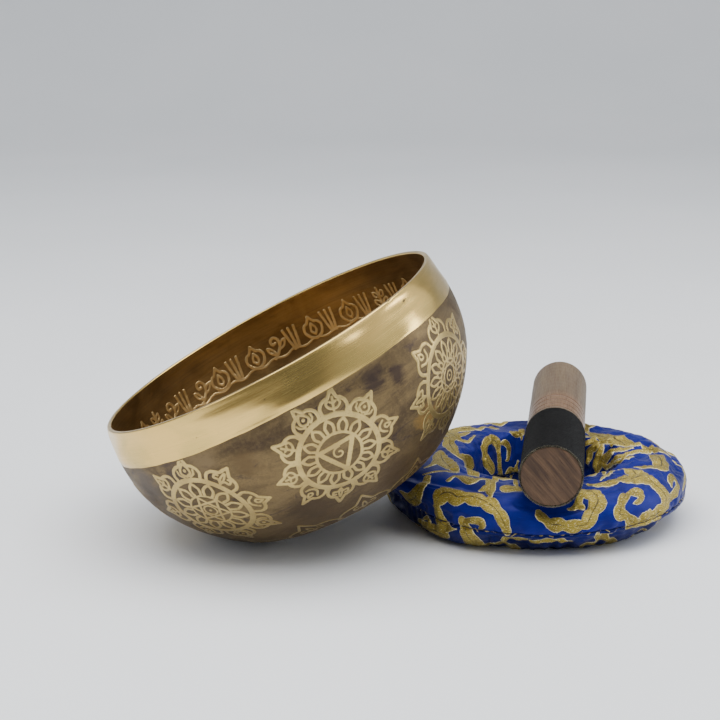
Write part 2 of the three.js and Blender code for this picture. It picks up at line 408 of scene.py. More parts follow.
def gold_cloth(name, pale, mid, deep):
    """Metallic brocade thread: ribbed weft floats, painted glints, a pale outline and a dark line down the middle of
    each stroke.
    """
    m = Mat(name, Metallic=0.62, Roughness=0.42, Specular_IOR_Level=0.35, Sheen_Weight=0.03, Sheen_Roughness=0.4)
    p = m.place("cloth")
    rise, core = m.value("rise"), m.value("core")
    u, v = m.axis(p, 0), m.axis(p, 1)
    wob = m.noise(m.scaled(p, 0.8, 0.8, 1.0), 1.0, 2, 0.5)
    rib = m.math("SINE", m.math("ADD", m.math("MULTIPLY", v, 11.0), m.math("MULTIPLY", wob, 7.0)))
    tie = m.math("SINE", m.math("MULTIPLY", m.math("ADD", u, m.math("MULTIPLY", v, 0.5)), 9.0))
    tone = m.noise(m.scaled(p, 0.35, 1.4, 1.0), 1.0, 3, 0.6)
    where = m.noise(m.place("where"), 0.06, 3, 0.5)
    c = m.mix(m.span(tone, 0.35, 0.68), mid, pale)
    c = m.mix(m.span(where, 0.4, 0.7, 0, 0.35), c, deep)
    c = m.mix(m.span(rib, -0.9, 0.1, 0.62, 0.0), c, deep)
    c = m.mix(m.span(tie, 0.6, 1.0, 0, 0.4), c, deep)
    # painted glints: near-white specks stand in for sparkle of light on the thread, with dark specks from the same
    # noise
    painted_glint_and_speck = m.noise(m.scaled(p, 1.1, 2.4, 1.0, shift=(7, 1, 0)), 1.0, 2, 0.5)
    c = m.mix(m.span(painted_glint_and_speck, 0.60, 0.68, 0, 0.75), c, srgb(250, 236, 180))
    c = m.mix(m.span(painted_glint_and_speck, 0.40, 0.32, 0, 0.5), c, deep)
    broken = m.span(m.noise(m.scaled(p, 0.16, 0.16, 1.0, shift=(4, 4, 0)), 1.0, 2, 0.5), 0.34, 0.42)
    line = m.math("MULTIPLY", m.math("MULTIPLY", m.span(core, 0.045, 0.10, 1.0, 0.0), m.span(rise, 1.2, 1.6)), broken)
    c = m.mix(m.math("MULTIPLY", line, 0.8), c, srgb(40, 38, 46))
    inner = m.math("MULTIPLY", m.span(m.math("ABSOLUTE", m.math("SUBTRACT", rise, 1.05)), 0.07, 0.16, 1.0, 0.0), m.span(broken, 0.2, 0.8, 1.0, 0.25))
    c = m.mix(m.math("MULTIPLY", inner, 0.7), c, srgb(62, 52, 34))
    edge = m.math("MULTIPLY", m.span(rise, 0.34, 0.46, 0.9, 0.0), m.span(m.math("SINE", m.math("ADD", m.math("MULTIPLY", u, 5.0), m.math("MULTIPLY", v, 5.0))), -0.8, 0.2, 0.45, 1.0))
    c = m.mix(edge, c, srgb(216, 210, 170))
    h = m.math("SUBTRACT", m.math("ADD", m.math("MULTIPLY", rib, 0.5), m.math("MULTIPLY", tie, 0.25)), m.math("MULTIPLY", line, 1.4))
    return m.out(c, m.span(tone, 0.3, 0.75, 0.38, 0.55), m.bump(h, 0.55, 0.16))


def wood_side():
    """Turned walnut along the grain, scorched and burnished where the grooves are."""
    m = Mat("walnut_side", Roughness=0.5, Specular_IOR_Level=0.35)
    p = m.place()
    z = m.axis(p, 2)
    wavy = m.noise(m.scaled(p, 0.09, 0.09, 0.012), 1.0, 3, 0.5, 0.3)
    band = m.noise(m.scaled(p, 0.42, 0.42, 0.014, shift=(4, 2, 0)), 1.0, 4, 0.65, 0.6)
    pores = m.noise(m.scaled(p, 2.6, 2.6, 0.07), 1.0, 3, 0.6)
    fibre = m.noise(m.scaled(p, 5.5, 5.5, 0.12), 1.0, 2, 0.5)
    c = m.mix(m.span(band, 0.34, 0.68), srgb(104, 87, 64), srgb(87, 71, 51))
    c = m.mix(m.span(wavy, 0.45, 0.7, 0, 0.5), c, srgb(82, 64, 50))
    c = m.mix(m.span(pores, 0.58, 0.74, 0, 0.4), c, srgb(70, 52, 40))
    c = m.mix(m.span(fibre, 0.3, 0.7, 0.18, 0.0), c, srgb(130, 110, 90))
    warm = m.math("MULTIPLY", m.span(z, 73, 77), m.span(z, 98, 112, 1, 0))
    c = m.mix(m.math("MULTIPLY", warm, 0.72), c, m.mix(m.span(pores, 0.45, 0.7), srgb(114, 80, 46), srgb(72, 48, 28)))
    for g in (76, 83, 91, 99):
        near = m.span(m.math("ABSOLUTE", m.math("SUBTRACT", z, float(g))), 0.35, 1.1, 1.0, 0.0)
        c = m.mix(m.math("MULTIPLY", near, 0.55), c, srgb(70, 44, 30))
    h = m.math("ADD", m.math("MULTIPLY", pores, -0.9), m.math("MULTIPLY", fibre, 0.4))
    rough = m.math("SUBTRACT", m.span(pores, 0.4, 0.75, 0.48, 0.68), m.math("MULTIPLY", warm, 0.14))
    return m.out(c, rough, m.bump(h, 0.4, 0.18))


def wood_end():
    """Sawn end of the walnut core: growth rings cut slantwise, rays and open pores."""
    m = Mat("walnut_end", Roughness=0.62, Specular_IOR_Level=0.3)
    p = m.place()
    q = m.scaled(p, 1.0, 1.0, 1.0, turn=(0, 0, math.radians(-40)))
    bend = m.noise(m.scaled(q, 0.05, 0.05, 0.05), 1.0, 2, 0.5)
    ring = m.noise(m.scaled(q, 0.5, 0.035, 0.2), 1.0, 4, 0.62, 0.35)
    fine = m.noise(m.scaled(q, 2.2, 0.12, 0.4), 1.0, 3, 0.6, 0.4)
    pores = m.noise(m.scaled(q, 1.6, 0.7, 0.6, shift=(3, 3, 3)), 1.0, 3, 0.62)
    c = m.mix(m.span(ring, 0.34, 0.66), srgb(94, 70, 50), srgb(56, 40, 28))
    c = m.mix(m.span(fine, 0.45, 0.70, 0, 0.7), c, srgb(50, 36, 27))
    c = m.mix(m.span(bend, 0.4, 0.7, 0, 0.3), c, srgb(88, 66, 48))
    c = m.mix(m.span(pores, 0.6, 0.74, 0, 0.6), c, srgb(42, 30, 22))
    h = m.math("ADD", m.math("MULTIPLY", fine, 0.6), m.math("MULTIPLY", pores, -0.8))
    return m.out(c, m.span(pores, 0.4, 0.75, 0.56, 0.76), m.bump(h, 0.45, 0.2))


def suede_hide(name, deep, mid, light):
    m = Mat(name, Roughness=0.95, Sheen_Weight=0.05, Sheen_Roughness=0.5, Sheen_Tint=(0.7, 0.7, 0.7, 1.0),
            Specular_IOR_Level=0.06)
    p = m.place()
    nap = m.noise(p, 1.9, 4, 0.7)
    brushed = m.noise(m.scaled(p, 0.16, 0.16, 0.07, shift=(1, 5, 2)), 1.0, 3, 0.6, 0.8)
    fibre = m.noise(m.scaled(p, 4.2, 4.2, 2.4), 1.0, 3, 0.7)
    c = m.mix(m.span(brushed, 0.36, 0.66), deep, mid)
    c = m.mix(m.span(nap, 0.54, 0.66, 0, 0.6), c, light)
    c = m.mix(m.span(fibre, 0.56, 0.68, 0, 0.3), c, light)
    h = m.math("ADD", m.math("MULTIPLY", nap, 0.8), m.math("MULTIPLY", fibre, 0.6))
    return m.out(c, m.span(nap, 0.3, 0.7, 0.88, 1.0), m.bump(h, 0.8, 0.35))


def thread_cotton(name, light, dark):
    m = Mat(name, Roughness=0.7, Sheen_Weight=0.3, Specular_IOR_Level=0.3)
    p = m.place("cloth")
    ply = m.math("SINE", m.math("ADD", m.math("MULTIPLY", m.axis(p, 0), 9.0), m.math("MULTIPLY", m.axis(p, 1), 5.0)))
    fuzz = m.noise(m.place("where"), 1.6, 3, 0.6)
    c = m.mix(m.span(ply, -0.8, 0.8), dark, light)
    c = m.mix(m.span(m.value("shade"), 0.30, 0.36, 0, 0.92), c, srgb(10, 24, 92))
    c = m.mix(m.span(fuzz, 0.5, 0.8, 0, 0.4), c, dark)
    return m.out(c, m.span(fuzz, 0.3, 0.7, 0.62, 0.8), m.bump(m.math("ADD", ply, fuzz), 0.5, 0.1))


def wadding_fluff():
    m = Mat("cotton_wadding", Roughness=0.98, Sheen_Weight=0.4, Specular_IOR_Level=0.1)
    p = m.place("where")
    clump = m.noise(p, 0.14, 5, 0.7, 1.0)
    fibre = m.noise(m.scaled(p, 1.1, 0.5, 0.8), 1.0, 5, 0.75, 2.0)
    c = m.mix(m.span(clump, 0.35, 0.7), srgb(226, 220, 206), srgb(198, 190, 172))
    c = m.mix(m.span(fibre, 0.52, 0.75, 0, 0.5), c, srgb(238, 234, 224))
    return m.out(c, m.span(fibre, 0.3, 0.7, 0.9, 1.0), m.bump(m.math("ADD", clump, fibre), 0.9, 0.8))


# ------------------------------------------------------------------ bowl
BOWL_CENTRE = np.array([-69.568, -11.121, 101.938])
NB = np.array([-0.4657, 0.0165, 0.88479]); NB /= np.linalg.norm(NB)
UB = np.array([-0.88491, 0.0, -0.46576]); UB -= NB * (UB @ NB); UB /= np.linalg.norm(UB)
WB = np.cross(NB, UB)
if WB[1] > 0:
    WB = -WB
PROFILE = rounded([(0, 92), (6.6, 93.3), (13.4, 94.19), (20.3, 94.58), (27.2, 94.42), (34, 93.63), (40.7, 92.13), (47, 89.89), (53.1, 86.99),
                   (58.9, 83.51), (64.5, 79.51), (69.8, 75.09), (74.8, 70.31), (79.46, 65.18), (83.51, 59.7), (86.8, 53.86), (89.25, 47.67),
                   (90.82, 41.13), (91.64, 34.33), (91.97, 26), (92, 13), (92, 0)], 10)
ARC = np.r_[0, np.cumsum(np.linalg.norm(np.diff(PROFILE, axis=0), axis=1))]
ARC_ALL = ARC[-1]
BAND = 18.7  # polished band, along the wall from the lip
_along = np.gradient(PROFILE, axis=0)
_along /= np.linalg.norm(_along, axis=1)[:, None]
_thick = np.where(PROFILE[:, 0] < 3, 2.3, 2.2 + 0.6 * np.clip((PROFILE[:, 0] - 60) / 30, 0, 1))
INNER = np.stack([PROFILE[:, 0] - _along[:, 1] * -1 * 0, PROFILE[:, 1]], 1)
# inward normal of (depth, radius) = (-dr, dh)
INNER = np.stack([PROFILE[:, 0] + _along[:, 1] * _thick, PROFILE[:, 1] - _along[:, 0] * _thick], 1)
INNER[:, 1] = np.maximum(INNER[:, 1], 0)
INNER[-1] = (PROFILE[-1, 0] - _thick[-1], 0)
ARC_IN = np.r_[0, np.cumsum(np.linalg.norm(np.diff(INNER, axis=0), axis=1))]

rng = np.random.default_rng(41)
# shallow planishing marks on the wall, in the bowl's own frame
_ms = rng.uniform(22, 150, 460)
_mp = rng.uniform(0, 2 * np.pi, 460)
_keep = rng.uniform(0, 1, 460) < np.interp(_ms, ARC, PROFILE[:, 1]) / 94
_ms, _mp = _ms[_keep], _mp[_keep]
_mr = np.interp(_ms, ARC, PROFILE[:, 1])
MARKS = np.stack([_mr * np.cos(_mp), _mr * np.sin(_mp), -np.interp(_ms, ARC, PROFILE[:, 0])], 1)
MARK_SIZE = rng.uniform(4.5, 8.5, len(MARKS))
MARK_DEEP = rng.uniform(0.05, 0.17, len(MARKS))


def bowl_frame(phi, h, r):
    return np.stack([r * np.cos(phi), r * np.sin(phi), -h], -1)


def to_row(B):
    return BOWL_CENTRE + B[..., 0:1] * UB + B[..., 1:2] * WB + B[..., 2:3] * NB


def wall_marks(B):
    """How far the wall is knocked in at points B of the bowl's frame."""
    flat = B.reshape(-1, 3)
    out = np.zeros(len(flat))
    for c, s, d in zip(MARKS, MARK_SIZE, MARK_DEEP):
        near = np.nonzero(np.abs(flat - c).max(1) < s)[0]
        if len(near):
            q = np.linalg.norm(flat[near] - c, axis=1) / s
            out[near] = np.maximum(out[near], d * smooth(1 - q))
    return out.reshape(B.shape[:-1])


def outer_wall(phi, s, rise=0.0, marks=True):
    """A point of the outer wall at an angle and an arc length from the lip: (bowl frame)."""
    phi, s = np.broadcast_arrays(np.asarray(phi, float), np.asarray(s, float))
    h, r = np.interp(s, ARC, PROFILE[:, 0]), np.interp(s, ARC, PROFILE[:, 1])
    nh, nr = -np.interp(s, ARC, _along[:, 1]), np.interp(s, ARC, _along[:, 0])
    B = bowl_frame(phi, h, r)
    push = np.asarray(rise, float) + 0 * s
    if marks:
        push = push - wall_marks(B) * smooth((s - BAND - 1) / 6)
        push = push + 0.12 * np.sin(3 * phi + 0.7) * smooth((s - 4) / 20) * smooth((150 - s) / 60)
    return bowl_frame(phi, h + nh * push, r + nr * push)


def inner_wall(phi, s, rise=0.0):
    phi, s = np.broadcast_arrays(np.asarray(phi, float), np.asarray(s, float))
    h, r = np.interp(s, ARC_IN, INNER[:, 0]), np.interp(s, ARC_IN, INNER[:, 1])
    nh, nr = np.interp(s, ARC_IN, _along[:, 1]), -np.interp(s, ARC_IN, _along[:, 0])
    push = rise + 0.05 * np.sin(s * 1.35 + 0.8 * np.sin(phi * 2)) * smooth((s - 3) / 6) + 0.06 * np.sin(5 * phi + 1) * smooth((s - 6) / 20) * smooth((ARC_IN[-1] - s) / 40)
    return bowl_frame(phi, h + nh * push, r + nr * push)


def spot_on_wall(deg, s):
    return tuple(float(v) for v in outer_wall(math.radians(deg), s, marks=False))


STAINS = [(spot_on_wall(120, 26), 9, srgb(52, 42, 42)), (spot_on_wall(128, 31), 6, srgb(56, 44, 42)), (spot_on_wall(34, 30), 15, srgb(78, 68, 60)),
          (spot_on_wall(76, 33), 9, srgb(96, 78, 52)), (spot_on_wall(84, 76), 15, srgb(64, 50, 36)), (spot_on_wall(118, 84), 14, srgb(70, 54, 38)),
          (spot_on_wall(64, 24), 9, srgb(118, 100, 72)), (spot_on_wall(96, 22), 8, srgb(118, 100, 70)), (spot_on_wall(52, 26), 9, srgb(74, 62, 56)), (spot_on_wall(44, 44), 16, srgb(92, 78, 60)), (spot_on_wall(104, 36), 9, srgb(96, 80, 54)), (spot_on_wall(136, 62), 10, srgb(148, 116, 62)),
          (spot_on_wall(215, 30), 12, srgb(60, 48, 44)), (spot_on_wall(280, 66), 14, srgb(70, 56, 40)), (spot_on_wall(332, 28), 10, srgb(56, 46, 44))]
NICKS = [(spot_on_wall(a, s), w) for a, s, w in ((140.6, 5.9, 0.45), (141.4, 5.6, 0.5), (142.2, 5.5, 0.4), (143.0, 5.2, 0.5), (143.8, 4.9, 0.8), (144.4, 4.6, 0.9), (145.2, 4.5, 0.5), (143.5, 6.0, 0.4), (90, 9.0, 0.5), (66, 12.0, 0.4))]
m_patina, m_polish, m_inside = patina_metal(), polished_metal(), inside_metal()
NPHI = 384
phi = np.arange(NPHI) / NPHI * 2 * np.pi
rows, zone = [], []
pole_out = ARC_ALL
for s in np.concatenate([np.linspace(pole_out - 1.0, BAND + 1.2, 108), np.array([BAND + 0.55])]):
    rows.append(outer_wall(phi, np.full(NPHI, s))); zone.append(0)
edge_wave = 0.16 * np.sin(7 * phi + 0.4) + 0.10 * np.sin(17 * phi + 2.0) + 0.07 * np.sin(41 * phi)
rows.append(outer_wall(phi, BAND + 0.16 + edge_wave, -0.10)); zone.append(1)
rows.append(outer_wall(phi, BAND - 0.22 + edge_wave, 0.02)); zone.append(1)
_bw = np.random.default_rng(12)
_waves = [(int(_bw.integers(4, 22)), _bw.uniform(0, 6.28), _bw.uniform(0.08, 0.34) * (1 if _bw.uniform() < 0.5 else -1), _bw.uniform(0.6, 1.0)) for _ in range(16)]


def band_wave(phi, s):
    """The polished band isn't quite true: broad shallow waves left by the hammer and the scraper."""
    w = sum(a * np.sin(n * phi + f + k * s) / n for n, f, k, a in _waves)
    return 0.95 * w * smooth(s / 4) * smooth((BAND - s) / 3)


for s in np.linspace(BAND - 1.2, 1.2, 15):
    rows.append(outer_wall(phi, np.full(NPHI, s), 0.03 + 0.02 * math.sin(s * 1.3) + band_wave(phi, s))); zone.append(1)
lip_wave = 0.07 * np.sin(4 * phi + 1.1) + 0.04 * np.sin(11 * phi)
nick = 0.55 * np.exp(-((phi - math.radians(139)) / 0.018) ** 2) * (0.6 + 0.4 * np.sin(phi * 60))
for h, r in ((0.62, 92.08), (0.24, 91.98), (0.04, 91.72), (0.0, 91.2), (0.02, 90.5), (0.06, 90.05), (0.28, 89.82), (0.75, 89.74)):
    rows.append(bowl_frame(phi, h + (lip_wave * 0.5 + nick * (1 if r > 91.5 else 0.3)) * (1 if h < 0.5 else 0.3), r + 0 * phi)); zone.append(1)
for s in np.linspace(1.4, 3.4, 3):
    rows.append(inner_wall(phi, np.full(NPHI, s))); zone.append(2)
for s in np.linspace(5.0, ARC_IN[-1] - 1.0, 66):
    rows.append(inner_wall(phi, np.full(NPHI, s))); zone.append(2)
R = np.array(rows)
nrow = len(R)
V = R.reshape(-1, 3)
V = np.vstack([V, [[0, 0, -PROFILE[-1, 0]]], [[0, 0, -INNER[-1, 0]]]])
Q = quads(nrow, NPHI, False, True)
k = np.arange(NPHI)
T = np.concatenate([np.stack([np.full(NPHI, nrow * NPHI), k, (k + 1) % NPHI], 1),
                    np.stack([np.full(NPHI, nrow * NPHI + 1), (nrow - 1) * NPHI + (k + 1) % NPHI, (nrow - 1) * NPHI + k], 1)])
z = np.array(zone)
row_zone = np.minimum(z[:-1], z[1:])
row_zone = np.where((z[:-1] == 1) & (z[1:] == 2), 2, row_zone)
mi = np.concatenate([np.repeat(row_zone, NPHI), np.zeros(NPHI, int), np.full(NPHI, 2)])
bowl = make("bowl_shell", to_row(V), [Q, T], [m_patina, m_polish, m_inside], "bowl", mi, vector={"place": V})
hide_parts("bowl")


# ------------------------------------------------------------------ etched ornament
def arc(r, a0, a1, n, w, cx=0.0, cy=0.0):
    a = np.radians(np.linspace(a0, a1, n))
    return np.stack([cx + r * np.sin(a), cy - r * np.cos(a), np.full(n, w)], 1)


def turned(points, angle, w, per=5, mirror=1):
    """A rounded line in a petal's frame: across, outwards. angle from the top, clockwise."""
    P = rounded([(mirror * a, b) for a, b in points], per)
    t = math.radians(angle)
    return np.stack([P[:, 0] * math.cos(t) + P[:, 1] * math.sin(t), P[:, 0] * math.sin(t) - P[:, 1] * math.cos(t), np.full(len(P), w)], 1)


def dot(x, y, w):
    return np.array([[x, y, w], [x + 0.01, y, w]])


def dot_at(across, out, angle, w):
    t = math.radians(angle)
    return dot(across * math.cos(t) + out * math.sin(t), across * math.sin(t) - out * math.cos(t), w)


def sprig(angle, at, kind, k=1.0, w=0.62):
    """A small generic filling for a petal: a three-leaved sprig, a bud, a palmette or a moon over a drop."""
    o = []
    both = (-1, 1)
    if kind == 0:
        o.append(turned([(0, at - 2.6 * k), (0, at + 3.4 * k)], angle, w))
        for mirror in both:
            o.append(turned([(0, at - 1.8 * k), (2.0 * k, at - 1.1 * k), (3.2 * k, at + 0.6 * k), (2.5 * k, at + 1.9 * k)], angle, w, 4, mirror))
            o.append(turned([(0, at + 0.8 * k), (1.3 * k, at + 1.5 * k)], angle, w * 0.9, 3, mirror))
    elif kind == 1:
        for mirror in both:
            o.append(turned([(0, at - 2.3 * k), (2.2 * k, at - 0.9 * k), (2.0 * k, at + 1.2 * k), (0, at + 3.6 * k)], angle, w, 4, mirror))
            o.append(turned([(1.6 * k, at - 2.6 * k), (3.6 * k, at - 1.4 * k), (4.0 * k, at + 0.4 * k)], angle, w * 0.9, 4, mirror))
        o.append(dot_at(0, at + 0.4 * k, angle, w * 1.3))
    elif kind == 2:
        for mirror in both:
            o.append(turned([(0, at - 2.4 * k), (1.3 * k, at - 0.6 * k), (3.3 * k, at - 0.8 * k), (3.5 * k, at + 0.9 * k), (2.3 * k, at + 1.2 * k)], angle, w, 4, mirror))
        o.append(turned([(0, at - 2.4 * k), (0.7 * k, at + 0.4 * k), (0, at + 3.4 * k), (-0.7 * k, at + 0.4 * k), (0, at - 2.4 * k)], angle, w * 0.85))
    else:
        o.append(turned([(-3.3 * k, at + 0.2 * k), (-1.8 * k, at - 1.7 * k), (0, at - 2.3 * k), (1.8 * k, at - 1.7 * k), (3.3 * k, at + 0.2 * k)], angle, w))
        o.append(turned([(0, at + 3.4 * k), (1.1 * k, at + 1.2 * k), (0, at + 0.2 * k), (-1.1 * k, at + 1.2 * k), (0, at + 3.4 * k)], angle, w * 0.9))
    return o


def ogee(angle, base, k, w, kx=1.0):
    """A petal of two lobes a side drawn up to a point."""
    half = [(6.2 * kx, base), (7.0 * kx, base + 2.6 * k), (6.3 * kx, base + 5.2 * k), (4.4 * kx, base + 7.0 * k), (2.5 * kx, base + 7.7 * k),
            (1.8 * kx, base + 8.9 * k), (1.0 * kx, base + 10.6 * k), (0, base + 12.6 * k)]
    return [turned(half, angle, w, 4, 1), turned(half, angle, w, 4, -1)]


def small_petals(count, r0, r1, half, w, shift=0.0):
    o = []
    for i in range(count):
        a = i * 360 / count + shift
        for mirror in (-1, 1):
            o.append(turned([(half * 0.75, r0), (half, r0 + (r1 - r0) * 0.45), (half * 0.55, r0 + (r1 - r0) * 0.8), (0, r1)], a, w, 4, mirror))
    return o


def polygon(n, r, w, shift=0.0):
    o = []
    for i in range(n):
        a, b = math.radians(shift + 360 * i / n), math.radians(shift + 360 * (i + 1) / n)
        o.append(np.array([[r * math.sin(a), -r * math.cos(a), w], [r * math.sin(b), -r * math.cos(b), w]]))
    return o


def medallion(kind, seed):
    g = np.random.default_rng(seed)
    o = [arc(20.3, 0, 360, 90, 1.6)]
    if kind == 0:
        for i in range(10):
            a = 18 + 36 * i
            o += ogee(a, 21.0, 0.95, 1.08, 0.95) + sprig(a, 25.0, (i + int(g.integers(2))) % 4, 1.08, 0.86)
        o += small_petals(14, 12.4, 18.3, 2.15, 0.98, 4)
        o += [arc(11.3, 0, 360, 70, 1.0)]
        o += polygon(3, 10.4, 1.4, 180)
        spiral = rounded([(math.sin(q) * (0.7 + 0.42 * q), -math.cos(q) * (0.7 + 0.42 * q) - 0.4) for q in np.linspace(0.0, 6.6, 13)], 4)
        o += [np.column_stack([spiral, np.full(len(spiral), 0.72)])]
    elif kind == 1:
        for i in range(8):
            a = -36 + 45 * i
            o += ogee(a, 21.0, 0.95, 1.1, 1.12) + sprig(a, 25.2, (i + int(g.integers(2))) % 4, 1.2, 0.9)
        o += small_petals(12, 11.2, 18.2, 2.6, 1.0, 8)
        o += [arc(10.4, 0, 360, 64, 0.75)]
        o += polygon(3, 9.8, 0.86, 0) + polygon(3, 9.8, 0.86, 180)
        o += [arc(3.4, 0, 360, 28, 0.7), dot(0, 0, 1.0)]
    else:
        for i in range(8):
            a = 45 * i
            o += ogee(a, 21.0, 0.95, 1.1, 1.12) + sprig(a, 25.2, (i + int(g.integers(2))) % 4, 1.2, 0.9)
        o += small_petals(14, 12.2, 18.0, 2.1, 0.92, 0) + small_petals(14, 8.8, 12.6, 1.5, 0.78, 12.86)
        o += [arc(8.4, 0, 360, 54, 0.85)]
        o += polygon(4, 7.6, 0.7, 0) + polygon(4, 7.6, 0.7, 45)
        o += [arc(2.6, 0, 360, 24, 0.7), dot(0, 0, 0.8)]
    return o


m_relief = relief_metal("bronze_raised", srgb(198, 173, 112), srgb(172, 148, 93), srgb(62, 48, 30))
m_relief_in = relief_metal("bronze_raised_inside", srgb(206, 176, 122), srgb(186, 154, 100), srgb(80, 62, 38))
LIFT = 0.17


def raised(name, grid_x, grid_y, strokes, place_of, mat, body, lift=LIFT, ramp=0.3, chunk_wall=None):
    X, Y = np.meshgrid(grid_x, grid_y, indexing="ij")
    d, _ = stroke_distance(np.stack([X.ravel(), Y.ravel()], 1), strokes, 1.0)
    d = d.reshape(X.shape)
    # the hand-cut edge is never quite even
    d = d + 0.09 * np.sin(X * 1.9 + 1.3 * np.sin(Y * 1.1)) * np.sin(Y * 1.7 + 0.8)
    IJ, dd, tris = cut(d)
    gx = np.interp(IJ[:, 0], np.arange(len(grid_x)), grid_x)
    gy = np.interp(IJ[:, 1], np.arange(len(grid_y)), grid_y)
    rise = -0.10 + (lift + 0.10) * smooth(-dd / ramp)
    rise = np.where(-dd <= 1e-9, -0.10, rise)
    B = place_of(gx, gy, rise)
    return make(name, to_row(B), tris, [mat], body, point={"rise": np.clip(-dd / 0.6, 0, 1)}, vector={"place": B}, solid=False)


def face_out(ob, centre, outward=True):
    """Turns a sheet's faces away from a point, or towards it."""
    me = ob.data
    n = len(me.polygons)
    c = np.zeros(n * 3); me.polygons.foreach_get("center", c)
    w = np.zeros(n * 3); me.polygons.foreach_get("normal", w)
    s = ((c.reshape(-1, 3) - np.array(centre) * MM) * w.reshape(-1, 3)).sum(1).mean()
    if (s < 0) == outward:
        me.flip_normals()


WALL_SPOTS = [(53.6, 50.5, 1), (101.5, 50.3, 0), (150.0, 50.5, 2), (202.0, 50.4, 0), (254.0, 50.4, 1), (306.0, 50.4, 2), (0.0, 50.4, 0)]
step = 0.4
bowl_mid = BOWL_CENTRE - NB * 30
for i, (deg, s0, kind) in enumerate(WALL_SPOTS):
    def spot(x, y, rise, deg=deg, s0=s0):
        s = s0 + y
        r = np.interp(s, ARC, PROFILE[:, 1])
        return outer_wall(math.radians(deg) + x / r, s, rise)
    ob = raised(f"bowl_medallion_{i + 1}", np.arange(-35.5, 35.6, step), np.arange(-31.0, 35.6, step), medallion(kind, 60 + i), spot, m_relief, "bowl")
    face_out(ob, bowl_mid)


def foot_ornament():
    g = np.random.default_rng(5)
    o = [arc(49.0, 0, 360, 160, 1.3), arc(44.5, 0, 360, 150, 0.8)]
    for i in range(12):
        a = 12 + 30 * i
        o += ogee(a, 49.8, 1.62, 1.0, 2.0) + sprig(a, 57.5, int(g.integers(4)), 1.7, 0.85)
    o += small_petals(24, 34.5, 43.0, 3.7, 0.85, 0)
    o += [arc(33.2, 0, 360, 120, 1.0), arc(24.0, 0, 360, 90, 0.8)]
    o += small_petals(12, 24.6, 31.6, 4.2, 0.85, 15)
    o += polygon(3, 22.6, 0.95, 0) + polygon(3, 22.6, 0.95, 180)
    o += [arc(9.6, 0, 360, 60, 0.8), arc(4.0, 0, 360, 30, 0.7), dot(0, 0, 1.0)]
    return o


def foot_place(x, y, rise):
    return outer_wall(np.arctan2(y, x), ARC_ALL - np.maximum(np.hypot(x, y), 0.02), rise)


fs = 0.6
ob = raised("bowl_foot_ornament", np.arange(-73, 73.1, fs), np.arange(-73, 73.1, fs), foot_ornament(), foot_place, m_relief, "bowl", 0.12)
face_out(ob, bowl_mid)


def inside_band():
    """A running vine of palmettes, fans of bars, tendrils and leaves round the inside wall."""
    g = np.random.default_rng(17)
    o, total = [], 2 * math.pi * 91.0
    x = np.linspace(0, total, 420)
    wave = total / 44
    o.append(np.column_stack([x, 27.6 + 0.9 * np.sin(x / wave * 2 * math.pi), np.full(len(x), 0.85)]))

    def line(points, w, x0, mirror=1, per=4):
        P = rounded([(x0 + mirror * a, b) for a, b in points], per)
        return np.column_stack([P, np.full(len(P), w)])
    at, last, w = 6.0, -1, 1.02
    while at < total - 8:
        kind = int(g.integers(4))
        if kind == last:
            kind = (kind + 1) % 4
        last = kind
        side = 1 if g.uniform() < 0.5 else -1
        if kind == 0:    # palmette
            for m in (-1, 1):
                o.append(line([(0, 27.5), (3.6, 25.6), (5.2, 21.6), (3.9, 18.6), (1.9, 17.6), (0, 14.4)], w, at, m))
                o.append(line([(0, 25.2), (1.6, 22.6), (0, 18.6)], 0.9, at, m))
            at += 12.5
        elif kind == 1:  # fan of bars
            for m, lean in ((-1, 1), (0, 0), (1, 1)):
                o.append(line([(m * 1.4, 27.4), (m * 2.5, 21.5), (m * 3.4, 15.2)], w, at))
            at += 10.5
        elif kind == 2:  # tendril with leaves
            o.append(line([(-3.0, 27.5), (0.0, 25.0), (2.4, 21.5), (2.6, 18.2), (0.6, 16.2), (-1.5, 17.4), (-1.2, 19.6), (0.4, 19.6)], w, at, side))
            o.append(line([(1.6, 23.6), (4.6, 22.6), (6.2, 19.4), (3.6, 20.2), (1.6, 23.6)], 0.85, at, side))
            o.append(line([(-1.4, 26.0), (-4.2, 23.6), (-4.9, 20.4), (-2.5, 22.2), (-1.4, 26.0)], 0.85, at, side))
            at += 13.0
        else:            # upright stem with paired leaves
            o.append(line([(0, 27.5), (0.4, 21.0), (-0.2, 14.6)], w, at))
            for m in (-1, 1):
                o.append(line([(0.2, 25.4), (3.4, 24.6), (4.4, 21.4), (1.8, 22.2), (0.2, 25.4)], 0.85, at, m))
                o.append(line([(0.1, 20.4), (2.8, 19.6), (3.4, 16.8), (1.2, 17.6), (0.1, 20.4)], 0.82, at, m))
            at += 12.0
    return o


def inside_place(x, y, rise):
    return inner_wall(x / 91.0 + math.radians(200), y, rise)


ob = raised("bowl_inside_band", np.arange(0, 2 * math.pi * 91.0, 0.45), np.arange(13.5, 30.3, 0.42), inside_band(), inside_place, m_relief_in, "bowl", 0.13)
face_out(ob, bowl_mid, False)

